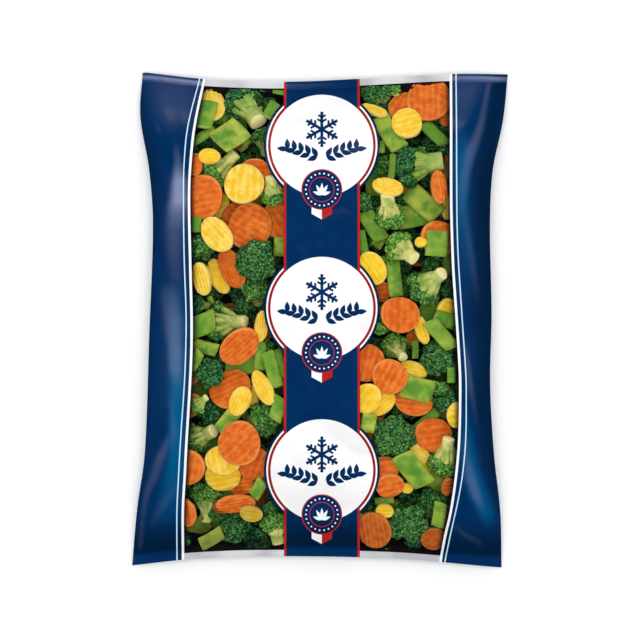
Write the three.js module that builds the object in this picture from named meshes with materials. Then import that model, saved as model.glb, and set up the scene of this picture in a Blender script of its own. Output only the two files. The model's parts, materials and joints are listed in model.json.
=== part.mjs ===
// A filled pillow bag of frozen vegetables, lying on its back with its printed front up.
// +X is the right of the front as it is read, +Y the bag's top, +Z up. Sizes are in millimetres.
import * as THREE from "three";
import { ParametricGeometry } from "three/addons/geometries/ParametricGeometry.js";

// Driving sizes
const bagLength = 388; // over both end seals
const thickness = 69; // at the thickest place
const foldHeight = 29; // of the side folds half way up the bag
const sealHeight = 17; // of the middle of each end seal
const cornerDroop = 8; // of the four sealed corners below that
const sealWidth = 7;
const sealThickness = 1.2;

// The outline seen from above, each a smooth curve through a few stations:
// [place along the bag, how far left or right] for the folds, [place across, how far up] for the ends.
const leftFold = [
  [-194, -147.5],
  [-150, -143.5],
  [-105, -137.3],
  [-10, -133.7],
  [75, -130.9],
  [118, -134],
  [160, -141],
  [194, -139.3],
];
const rightFold = [
  [-194, 142],
  [-150, 140.8],
  [-105, 135.8],
  [-50, 132.7],
  [5, 133.8],
  [75, 132.6],
  [118, 134.8],
  [158, 143],
  [194, 146.9],
];
const topEnd = [
  [-140, 193.8],
  [-91, 188.4],
  [-28, 186.6],
  [30, 189],
  [102, 192.7],
  [147, 192.4],
];
const bottomEnd = [
  [-148, -192.7],
  [-95, -187],
  [-35, -184.9],
  [60, -186.8],
  [142, -193.8],
];
const nominalHalfWidth = 144; // of the flat film, where a place across meets the end curves

// How full the section is: 1 is a wedge, higher is boxier
const acrossFullness = 2.7;
const alongFullness = 3;
const acrossRoundness = 0.5;
const endTaper = 0.72;
const baseSpread = 1.45; // how far out the bag lies flat on its back

// Lumps that the pieces inside press into the film
const windowHalfWidth = 108; // the clear front, which shows the lumps best
const lumpPitch = 27;
const lumpHeight = 3.2;
const lumpTurn = 0.7; // so that no row of lumps follows the bag's own axes, in radians
const lumpJitter = 0.85; // how far a lump strays in its cell
const swellHeight = 1.4;
const swellWaves = 7;

// Long soft creases that run down the sides from the four corners: where from, where to, width, height
const creases = [
  { from: [-118, 150], to: [-113, -20], width: 9, height: 2.6 },
  { from: [-119, -75], to: [-141, -176], width: 7, height: 2.8 },
  { from: [-112, -118], to: [-128, -172], width: 6, height: 2.2 },
  { from: [142, 178], to: [112, 66], width: 7, height: 2.8 },
  { from: [128, 180], to: [108, 138], width: 6, height: 2.2 },
  { from: [117, 62], to: [127, -14], width: 8, height: 2 },
  { from: [112, -30], to: [136, -160], width: 7, height: 3 },
];

// Mesh steps: round the section, and along the bag
const stepsAround = 92;
const stepsAlong = 58;
const sealSteps = 2; // rows of the mesh that each end seal takes

// The smooth curve through [at, value] stations, each with the slope between its neighbours.
function through(stations, at) {
  const last = stations.length - 1;
  const slope = (i) => {
    const before = stations[Math.max(i - 1, 0)];
    const after = stations[Math.min(i + 1, last)];
    return (after[1] - before[1]) / (after[0] - before[0]);
  };
  let i = 0;
  while (i < last - 1 && at > stations[i + 1][0]) i += 1;
  const [from, to] = [stations[i], stations[i + 1]];
  const span = to[0] - from[0];
  const t = THREE.MathUtils.clamp((at - from[0]) / span, 0, 1);
  const ease = t * t * (3 - 2 * t);
  const swing = slope(i) * t * (1 - t) ** 2 - slope(i + 1) * t * t * (1 - t);
  return THREE.MathUtils.lerp(from[1], to[1], ease) + span * swing;
}

// A repeatable number from 0 to 1 for a cell of the lump pattern.
function scatter(column, row, salt) {
  const mixed = Math.sin(column * 127.1 + row * 311.7 + salt * 74.7) * 43758.5453;
  return mixed - Math.floor(mixed);
}

// Rounded lumps side by side, one to a cell: 1 on a lump's top, 0 between lumps.
function lumps(x, y) {
  const across = (x * Math.cos(lumpTurn) + y * Math.sin(lumpTurn)) / lumpPitch;
  const up = (y * Math.cos(lumpTurn) - x * Math.sin(lumpTurn)) / lumpPitch;
  const [column, row] = [Math.floor(across), Math.floor(up)];
  let nearest = Infinity;
  for (let i = column - 1; i <= column + 1; i += 1) {
    for (let j = row - 1; j <= row + 1; j += 1) {
      const dx = i + 0.5 + lumpJitter * (scatter(i, j, 1) - 0.5) - across;
      const dy = j + 0.5 + lumpJitter * (scatter(i, j, 2) - 0.5) - up;
      nearest = Math.min(nearest, Math.hypot(dx, dy));
    }
  }
  return 1 - Math.min(nearest / 0.75, 1) ** 2;
}

// A slow uneven swell of the whole front, about -1 to 1.
function swell(x, y) {
  let sum = 0;
  for (let i = 0; i < swellWaves; i += 1) {
    const [turn, wave] = [2.4 * i, 46 + 9 * i];
    const along = x * Math.cos(turn) + y * Math.sin(turn);
    sum += Math.cos((2 * Math.PI * along) / wave + 1.7 * i * i);
  }
  return sum / Math.sqrt(swellWaves);
}

// The height that the creases add at a place on the front.
function creaseRise(x, y) {
  let rise = 0;
  for (const { from, to, width, height } of creases) {
    const [dx, dy] = [to[0] - from[0], to[1] - from[1]];
    const run = Math.hypot(dx, dy);
    const along = ((x - from[0]) * dx + (y - from[1]) * dy) / (run * run);
    const aside = ((x - from[0]) * dy - (y - from[1]) * dx) / run;
    const fade = Math.sin(Math.PI * THREE.MathUtils.clamp(along, 0, 1));
    rise += height * fade * Math.exp(-((aside / width) ** 2));
  }
  return rise;
}

// The share of the bag's length, from its bottom end, that the mesh reaches at a row v from 0 to 1.
// The seals take their own rows, and the rows of the filled part crowd towards its ends.
function shareAlong(v) {
  const sealShare = sealWidth / bagLength;
  const row = v * stepsAlong;
  if (row <= sealSteps) return (row / sealSteps) * sealShare;
  if (row >= stepsAlong - sealSteps) return 1 - ((stepsAlong - row) / sealSteps) * sealShare;
  const t = (row - sealSteps) / (stepsAlong - 2 * sealSteps);
  const crowded = 0.5 - 0.5 * Math.cos(Math.PI * t);
  return sealShare + (1 - 2 * sealShare) * THREE.MathUtils.lerp(t, crowded, 0.6);
}

// The point of the bag's skin at u round the section and v along the bag, both 0 to 1.
// u goes from the left fold over the front to the right fold at 0.5, and back underneath.
function skin(u, v, target) {
  const side = u <= 0.5 ? u : 1 - u;
  const across = -Math.cos(2 * Math.PI * side); // -1 at the left fold, 1 at the right
  const share = shareAlong(v);
  const sealShare = sealWidth / bagLength;
  const along = THREE.MathUtils.clamp((2 * share - 1) / (1 - 2 * sealShare), -1, 1);

  const nominalY = (share - 0.5) * bagLength;
  const x = THREE.MathUtils.lerp(
    through(leftFold, nominalY),
    through(rightFold, nominalY),
    (across + 1) / 2,
  );
  const y = THREE.MathUtils.lerp(
    through(bottomEnd, across * nominalHalfWidth),
    through(topEnd, across * nominalHalfWidth),
    share,
  );

  const sealLine = sealHeight - cornerDroop * across ** 4;
  const seam = THREE.MathUtils.lerp(foldHeight, sealLine, Math.abs(along) ** 3);
  const acrossLeft = 1 - Math.abs(across) ** acrossFullness;
  const alongLeft = 1 - Math.abs(along) ** alongFullness;
  const fill = acrossLeft ** acrossRoundness * alongLeft ** endTaper;
  const isEndEdge = v < 0.5 / stepsAlong || v > 1 - 0.5 / stepsAlong;
  const halfSeal = isEndEdge ? 0 : (sealThickness / 2) * Math.min(1, 12 * acrossLeft);

  let z;
  if (u <= 0.5) {
    const windowFade = 1 - THREE.MathUtils.smoothstep(Math.abs(x), windowHalfWidth - 14, windowHalfWidth + 4);
    const calm = Math.min(1, 2.5 * fill);
    const relief = swellHeight * swell(x, y) + creaseRise(x, y);
    const pressed = (0.25 + 0.75 * windowFade) * lumpHeight * (lumps(x, y) - 0.6);
    z = seam + (thickness - foldHeight) * fill + halfSeal + calm * (relief + pressed);
  } else {
    const spread = Math.min(1, baseSpread * (1 - Math.abs(across) ** 4) ** 0.6 * (1 - along ** 4) ** 0.85);
    const drop = 1 - (1 - spread) ** 1.5;
    z = seam * (1 - drop) - halfSeal * (1 - drop);
  }
  target.set(x, y, z);
}

// The sealed bag is one closed solid. Its origin is under the middle of its outline, on the table.
function makeBag() {
  const geometry = new ParametricGeometry(skin, stepsAround, stepsAlong);
  geometry.computeBoundingBox();
  const middle = geometry.boundingBox.getCenter(new THREE.Vector3());
  geometry.translate(-middle.x, -middle.y, -geometry.boundingBox.min.z);
  const film = new THREE.MeshStandardMaterial({ color: 0x0b2c5c, roughness: 0.3, metalness: 0 });
  const bag = new THREE.Mesh(geometry, film);
  bag.name = "bag";
  return bag;
}

const group = new THREE.Group();
group.add(makeBag());

export default group;
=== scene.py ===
import json
import math
import random

import bpy
import numpy as np
from mathutils import Matrix, Vector, kdtree
from mathutils.geometry import delaunay_2d_cdt

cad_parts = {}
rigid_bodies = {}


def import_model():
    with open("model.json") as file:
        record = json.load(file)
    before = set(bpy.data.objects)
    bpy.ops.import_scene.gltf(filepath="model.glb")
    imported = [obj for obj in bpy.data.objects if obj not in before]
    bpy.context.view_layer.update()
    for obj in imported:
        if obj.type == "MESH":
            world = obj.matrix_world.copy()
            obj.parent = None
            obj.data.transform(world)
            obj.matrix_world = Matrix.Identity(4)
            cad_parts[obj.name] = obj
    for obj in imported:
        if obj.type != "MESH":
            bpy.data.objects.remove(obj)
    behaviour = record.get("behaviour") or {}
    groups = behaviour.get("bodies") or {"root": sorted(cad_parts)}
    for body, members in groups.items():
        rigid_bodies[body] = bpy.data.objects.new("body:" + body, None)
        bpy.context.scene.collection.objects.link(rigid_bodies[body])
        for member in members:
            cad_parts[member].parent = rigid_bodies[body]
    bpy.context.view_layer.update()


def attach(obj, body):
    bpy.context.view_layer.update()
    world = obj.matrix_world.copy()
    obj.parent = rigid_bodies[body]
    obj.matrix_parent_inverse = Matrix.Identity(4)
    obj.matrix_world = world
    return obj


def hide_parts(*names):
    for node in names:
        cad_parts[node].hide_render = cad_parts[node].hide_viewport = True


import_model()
scene = bpy.context.scene
scene.view_settings.view_transform = "Standard"
mm = 0.001

# The filled bag's form, in millimetres, the same as the solid's
bag = {
    "length": 388, "thickness": 69, "foldHeight": 29, "sealHeight": 17, "cornerDroop": 8,
    "sealWidth": 7, "sealThickness": 1.2, "nominalHalfWidth": 144,
    "leftFold": [(-194, -147.5), (-150, -143.5), (-105, -137.3), (-10, -133.7), (75, -130.9),
                 (118, -134), (160, -141), (194, -139.3)],
    "rightFold": [(-194, 142), (-150, 140.8), (-105, 135.8), (-50, 132.7), (5, 133.8), (75, 132.6),
                  (118, 134.8), (158, 143), (194, 146.9)],
    "topEnd": [(-140, 193.8), (-91, 188.4), (-28, 186.6), (30, 189), (102, 192.7), (147, 192.4)],
    "bottomEnd": [(-148, -192.7), (-95, -187), (-35, -184.9), (60, -186.8), (142, -193.8)],
    "acrossFullness": 2.7, "alongFullness": 3, "acrossRoundness": 0.5, "endTaper": 0.72, "sealRounding": 12,
    "baseSpread": 1.45, "baseAcross": 0.6, "baseAlong": 0.85, "baseLift": 1.5,  # how it lies flat on its back
    "windowHalfWidth": 108, "fadeInside": 14, "fadeOutside": 4,  # where the window's lumps fade out
    "lumpPitch": 27, "lumpHeight": 3.2, "lumpTurn": 0.7, "lumpJitter": 0.85, "lumpReach": 0.75,
    "lumpSink": 0.6, "sideLumps": 0.25,  # how far the lumps are let in, and their share on the sides
    "swellHeight": 1.4, "swellWaves": 7, "swellTurn": 2.4, "swellLength": 46, "swellStep": 9,
    "swellPhase": 1.7, "reliefRate": 2.5,  # how fast all this relief grows with the fill
    "creases": [  # where from, where to, width, height
        ((-118, 150), (-113, -20), 9, 2.6), ((-119, -75), (-141, -176), 7, 2.8),
        ((-112, -118), (-128, -172), 6, 2.2), ((142, 178), (112, 66), 7, 2.8),
        ((128, 180), (108, 138), 6, 2.2), ((117, 62), (127, -14), 8, 2), ((112, -30), (136, -160), 7, 3),
    ],
    # Small gathers that run out of the end seals, and how they sway and drift apart
    "puckerPitch": 13, "puckerHeight": 0.4, "puckerStart": 0.6, "puckerRise": 3, "puckerReach": 24,
    "sway": 2.2, "swayLength": 31, "swayShift": 1.3, "drift": 14, "driftLength": 47,
    # The seam down the middle of the back, and half the bag's width there
    "lapWidth": 12, "lapRise": 0.5, "lapLift": 0.3, "lapRows": 90, "lapEndGap": 0.0005, "halfWidth": 135,
    # The mesh's steps, extra rows near the back's ends, and how much a loft's rows crowd towards its ends
    "meshStep": 2.2, "backMeshStep": 5, "backRows": (8.2, 10, 13), "rowCrowding": 0.7,
}
edgeTolerance = 1e-6  # in shares of the bag's length
placeRounds, curveRounds = 6, 8  # steps in which a place on the film is found


# The smooth curve through (at, value) stations
def through(stations, at):
    places, values = np.array(stations, float).T
    count = len(places)
    before = np.maximum(np.arange(count) - 1, 0)
    after = np.minimum(np.arange(count) + 1, count - 1)
    slopes = (values[after] - values[before]) / (places[after] - places[before])
    i = np.clip(np.searchsorted(places, at) - 1, 0, count - 2)
    span = places[i + 1] - places[i]
    t = np.clip((at - places[i]) / span, 0, 1)
    ease = t * t * (3 - 2 * t)
    swing = slopes[i] * t * (1 - t) ** 2 - slopes[i + 1] * t * t * (1 - t)
    return values[i] + (values[i + 1] - values[i]) * ease + span * swing


def blendBetween(low, high, share):
    return low + (high - low) * share


def smoothStep(value, low, high):
    t = np.clip((value - low) / (high - low), 0, 1)
    return t * t * (3 - 2 * t)


# A repeatable number from 0 to 1 for a cell of the lump pattern
def scatter(column, row, salt):
    mixed = np.sin(column * 127.1 + row * 311.7 + salt * 74.7) * 43758.5453
    return mixed - np.floor(mixed)


# Lumps that the pieces inside press into the film: 1 on a lump's top, 0 between lumps
def lumps(x, y):
    turn, pitch = bag["lumpTurn"], bag["lumpPitch"]
    across = (x * math.cos(turn) + y * math.sin(turn)) / pitch
    up = (y * math.cos(turn) - x * math.sin(turn)) / pitch
    nearest = np.full(np.shape(x), np.inf)
    for i in (-1, 0, 1):
        for j in (-1, 0, 1):
            column, row = np.floor(across) + i, np.floor(up) + j
            dx = column + 0.5 + bag["lumpJitter"] * (scatter(column, row, 1) - 0.5) - across
            dy = row + 0.5 + bag["lumpJitter"] * (scatter(column, row, 2) - 0.5) - up
            nearest = np.minimum(nearest, np.hypot(dx, dy))
    return 1 - np.minimum(nearest / bag["lumpReach"], 1) ** 2


# A slow uneven swell of the whole front, about -1 to 1
def swell(x, y):
    total = 0
    for i in range(bag["swellWaves"]):
        turn, wave = bag["swellTurn"] * i, bag["swellLength"] + bag["swellStep"] * i
        along = x * math.cos(turn) + y * math.sin(turn)
        total = total + np.cos(2 * math.pi * along / wave + bag["swellPhase"] * i * i)
    return total / math.sqrt(bag["swellWaves"])


# The height that the creases add at a place on the front
def creaseRise(x, y):
    rise = 0
    for (x0, y0), (x1, y1), width, height in bag["creases"]:
        dx, dy = x1 - x0, y1 - y0
        run = math.hypot(dx, dy)
        along = ((x - x0) * dx + (y - y0) * dy) / run ** 2
        aside = ((x - x0) * dy - (y - y0) * dx) / run
        rise = rise + height * np.sin(math.pi * np.clip(along, 0, 1)) * np.exp(-(aside / width) ** 2)
    return rise


# A place on the film is its way across, -1 at the left fold to 1 at the right, and its share of the length
def foldsAt(share):
    nominalY = (share - 0.5) * bag["length"]
    return through(bag["leftFold"], nominalY), through(bag["rightFold"], nominalY)


def endsAt(across):
    half = across * bag["nominalHalfWidth"]
    return through(bag["bottomEnd"], half), through(bag["topEnd"], half)


def acrossOf(x, share):
    left, right = foldsAt(share)
    return np.clip(2 * (x - left) / (right - left) - 1, -1, 1)


def planOf(across, share):
    return blendBetween(*foldsAt(share), (across + 1) / 2), blendBetween(*endsAt(across), share)


def placeOf(x, y):
    x, y = np.asarray(x, float), np.asarray(y, float)
    share = y / bag["length"] + 0.5
    for _ in range(placeRounds):
        across = acrossOf(x, share)
        low, high = endsAt(across)
        share = np.clip((y - low) / (high - low), 0, 1)
    return across, share


def seamAndFill(across, share):
    sealShare = bag["sealWidth"] / bag["length"]
    along = np.clip((2 * share - 1) / (1 - 2 * sealShare), -1, 1)
    sealLine = bag["sealHeight"] - bag["cornerDroop"] * across ** 4
    seam = blendBetween(bag["foldHeight"], sealLine, np.abs(along) ** 3)
    acrossLeft = 1 - np.abs(across) ** bag["acrossFullness"]
    alongLeft = 1 - np.abs(along) ** bag["alongFullness"]
    fill = acrossLeft ** bag["acrossRoundness"] * alongLeft ** bag["endTaper"]
    isEdge = (share < edgeTolerance) | (share > 1 - edgeTolerance)
    halfSeal = np.where(isEdge, 0, bag["sealThickness"] / 2 * np.minimum(1, bag["sealRounding"] * acrossLeft))
    return along, seam, fill, halfSeal


def frontFilm(across, share):
    x, y = planOf(across, share)
    seam, fill, halfSeal = seamAndFill(across, share)[1:]
    half = bag["windowHalfWidth"]
    windowFade = 1 - smoothStep(np.abs(x), half - bag["fadeInside"], half + bag["fadeOutside"])
    calm = np.minimum(1, bag["reliefRate"] * fill)
    lumpShare = bag["sideLumps"] + (1 - bag["sideLumps"]) * windowFade
    pressed = lumpShare * bag["lumpHeight"] * (lumps(x, y) - bag["lumpSink"])
    fromEnd = np.minimum(share, 1 - share) * bag["length"]
    fromSeal = np.maximum(fromEnd - bag["sealWidth"] * bag["puckerStart"], 0)
    gather = fromSeal / (fromSeal + bag["puckerRise"]) * np.exp(-fromSeal / bag["puckerReach"])
    wobble = bag["sway"] * np.sin(x / bag["swayLength"] + bag["swayShift"] * np.sign(y))
    wobble = wobble + fromSeal / bag["drift"] * np.sin(x / bag["driftLength"])
    puckers = bag["puckerHeight"] * gather * np.sin(2 * math.pi * x / bag["puckerPitch"] + wobble)
    relief = bag["swellHeight"] * swell(x, y) + creaseRise(x, y) + pressed
    z = seam + (bag["thickness"] - bag["foldHeight"]) * fill + halfSeal + calm * relief + puckers
    return np.stack([x, y, z], -1)


def backFilm(across, share):
    x, y = planOf(across, share)
    along, seam, _, halfSeal = seamAndFill(across, share)
    spread = bag["baseSpread"] * (1 - np.abs(across) ** 4) ** bag["baseAcross"]
    spread = spread * (1 - along ** 4) ** bag["baseAlong"]
    stay = (1 - np.minimum(1, spread)) ** bag["baseLift"]
    return np.stack([x, y, np.maximum((seam - halfSeal) * stay, bag["lapRise"])], -1)


def frontHeight(x, y):
    return frontFilm(*placeOf(x, y))[..., 2]


def backHeight(x, y):
    return backFilm(*placeOf(x, y))[..., 2]


# The solid is centred on its outline, so everything moves by the same small step
edgeShares = np.linspace(0, 1, 400)
edgePlaces = np.concatenate([planOf(np.full(len(edgeShares), side), edgeShares)[0] for side in (-1.0, 1.0)])
centreShift = np.array([-(edgePlaces.min() + edgePlaces.max()) / 2, 0.0, 0.0])


# Shader helpers
def srgb(*parts):
    return (*(((c / 255 + 0.055) / 1.055) ** 2.4 if c > 10 else c / 255 / 12.92 for c in parts), 1)


def addNode(tree, kind, inputs=None, **settings):
    node = tree.nodes.new(kind)
    for key, value in settings.items():
        setattr(node, key, value)
    for key, value in (inputs or {}).items():
        if isinstance(value, bpy.types.NodeSocket):
            tree.links.new(value, node.inputs[key])
        else:
            node.inputs[key].default_value = value
    return node


def mixColour(tree, factor, first, second):
    return addNode(tree, "ShaderNodeMix", {0: factor, 6: first, 7: second}, data_type="RGBA").outputs[2]


def calc(tree, operation, first, second=0.0, clamp=False):
    node = addNode(tree, "ShaderNodeMath", {0: first, 1: second}, operation=operation, use_clamp=clamp)
    return node.outputs[0]


def mapTo(tree, value, low, high, toLow=0.0, toHigh=1.0):
    return addNode(tree, "ShaderNodeMapRange", {0: value, 1: low, 2: high, 3: toLow, 4: toHigh},
                   interpolation_type="SMOOTHSTEP").outputs[0]


def newGroup(name, inputs, outputs):
    group = bpy.data.node_groups.new(name, "ShaderNodeTree")
    for key, value in inputs.items():
        group.interface.new_socket(key, in_out="INPUT", socket_type="NodeSocketFloat").default_value = value
    for key in outputs:
        group.interface.new_socket(key, in_out="OUTPUT", socket_type="NodeSocketFloat")
    return group, group.nodes.new("NodeGroupInput").outputs, group.nodes.new("NodeGroupOutput").inputs


# Uneven patches over a surface
mottle, given, wanted = newGroup("mottle", {"Scale": 120, "Detail": 3, "Low": 0.35, "High": 0.65}, ["Mask"])
spot = addNode(mottle, "ShaderNodeTexCoord").outputs["Object"]
cloud = addNode(mottle, "ShaderNodeTexNoise", {
    "Vector": spot, "Scale": given["Scale"], "Detail": given["Detail"]}).outputs[0]
mottle.links.new(mapTo(mottle, cloud, given["Low"], given["High"]), wanted["Mask"])

# The fine creasing of thin film
filmCreasing, given, wanted = newGroup("filmCreasing", {"Scale": 30, "Stretch": 0.35}, ["Height"])
spot = addNode(filmCreasing, "ShaderNodeTexCoord").outputs["Object"]
reach = addNode(filmCreasing, "ShaderNodeCombineXYZ", {"X": 1.0, "Y": given["Stretch"], "Z": 1.0}).outputs[0]
drawn = addNode(filmCreasing, "ShaderNodeVectorMath", {0: spot, 1: reach}, operation="MULTIPLY").outputs[0]
coarse = addNode(filmCreasing, "ShaderNodeTexNoise", {
    "Vector": drawn, "Scale": given["Scale"], "Detail": 2.0, "Distortion": 0.6}).outputs[0]
centred = calc(filmCreasing, "MULTIPLY", calc(filmCreasing, "SUBTRACT", coarse, 0.5), 4.0)
ridge = calc(filmCreasing, "SUBTRACT", 1.0, calc(filmCreasing, "ABSOLUTE", centred), clamp=True)
filmCreasing.links.new(calc(filmCreasing, "POWER", ridge, 2.0), wanted["Height"])


def newMaterial(name):
    material = bpy.data.materials.new(name)
    material.use_nodes = True
    tree = material.node_tree
    return material, tree, tree.nodes["Principled BSDF"]


def placeGroup(tree, group, **inputs):
    node = tree.nodes.new("ShaderNodeGroup")
    node.node_tree = group
    for key, value in inputs.items():
        node.inputs[key].default_value = value
    return node.outputs[0]


fineRelief, deepRelief = 0.0006, 0.001  # how deep a bump is taken to be, in metres


def bumpFrom(tree, height, strength, distance):
    values = {"Height": height, "Strength": strength, "Distance": distance}
    return addNode(tree, "ShaderNodeBump", values).outputs["Normal"]


def attribute(tree, name):
    return addNode(tree, "ShaderNodeAttribute", attribute_name=name, attribute_type="GEOMETRY").outputs["Fac"]


# Values kept on a mesh's points, which the materials and the heap read
def markPoints(mesh, name, values, kind="FLOAT"):
    field = "vector" if kind == "FLOAT_VECTOR" else "value"
    mesh.attributes.new(name, kind, "POINT").data.foreach_set(field, np.ravel(values).tolist())


# Film finishes: colours, how rough and glossy, how deep the fine creases are, and tones in places
# On the navy the tones are painted light, painted shade and painted sheen; the white's and red's tint lines
# and rings
filmFinish = {
    "navy": {"colour": srgb(0, 48, 97), "deep": srgb(0, 44, 91), "roughness": 0.19, "crease": 0.25,
             "gloss": 0.22, "tones": {"paintedLight": srgb(0, 92, 142), "paintedShadeAndDarkRing": srgb(0, 22, 42),
                                      "paintedSheen": srgb(146, 156, 192)}},
    "white": {"colour": srgb(255, 255, 255), "deep": srgb(252, 252, 254), "roughness": 0.3, "crease": 0.15,
              "tones": {"ice": srgb(208, 240, 255)}},
    "red": {"colour": srgb(196, 32, 24), "deep": srgb(184, 26, 22), "roughness": 0.3, "crease": 0.15,
            "tones": {"ring": srgb(158, 16, 12)}},
    "seal": {"colour": srgb(220, 220, 223), "deep": srgb(188, 189, 194), "roughness": 0.3, "crease": 1.0},
    # the window film: near clear, with painted shade that darkens it towards the thick lines
    "window": {"colour": srgb(6, 12, 24), "alpha": 0.02, "edgeShadeAlpha": 0.8, "roughness": 0.4, "crease": 0.1,
               "gloss": 0.02},
}
usualGloss = 0.35


def filmMaterial(name):
    look = filmFinish[name]
    material, tree, surface = newMaterial("film_" + name)
    if "deep" in look:
        patches = placeGroup(tree, mottle, Scale=28, Detail=2)
        colour = mixColour(tree, patches, look["colour"], look["deep"])
        # On the navy these tones paint light, shade and sheen into the colour
        for tone, tint in look.get("tones", {}).items():
            colour = mixColour(tree, attribute(tree, tone), colour, tint)
        tree.links.new(colour, surface.inputs["Base Color"])
    else:
        surface.inputs["Base Color"].default_value = look["colour"]
    surface.inputs["Alpha"].default_value = look.get("alpha", 1)
    # painted shade: darker and less clear towards the thick lines
    if "edgeShadeAlpha" in look:
        alpha = mapTo(tree, attribute(tree, "edge"), 0.0, 1.0, look["alpha"], look["edgeShadeAlpha"])
        tree.links.new(alpha, surface.inputs["Alpha"])
    surface.inputs["Roughness"].default_value = look["roughness"]
    surface.inputs["Specular IOR Level"].default_value = look.get("gloss", usualGloss)
    creasing = placeGroup(tree, filmCreasing, Scale=26)
    tree.links.new(bumpFrom(tree, creasing, look["crease"], fineRelief), surface.inputs["Normal"])
    return material


film = {name: filmMaterial(name) for name in filmFinish}
print("film finishes made")

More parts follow.
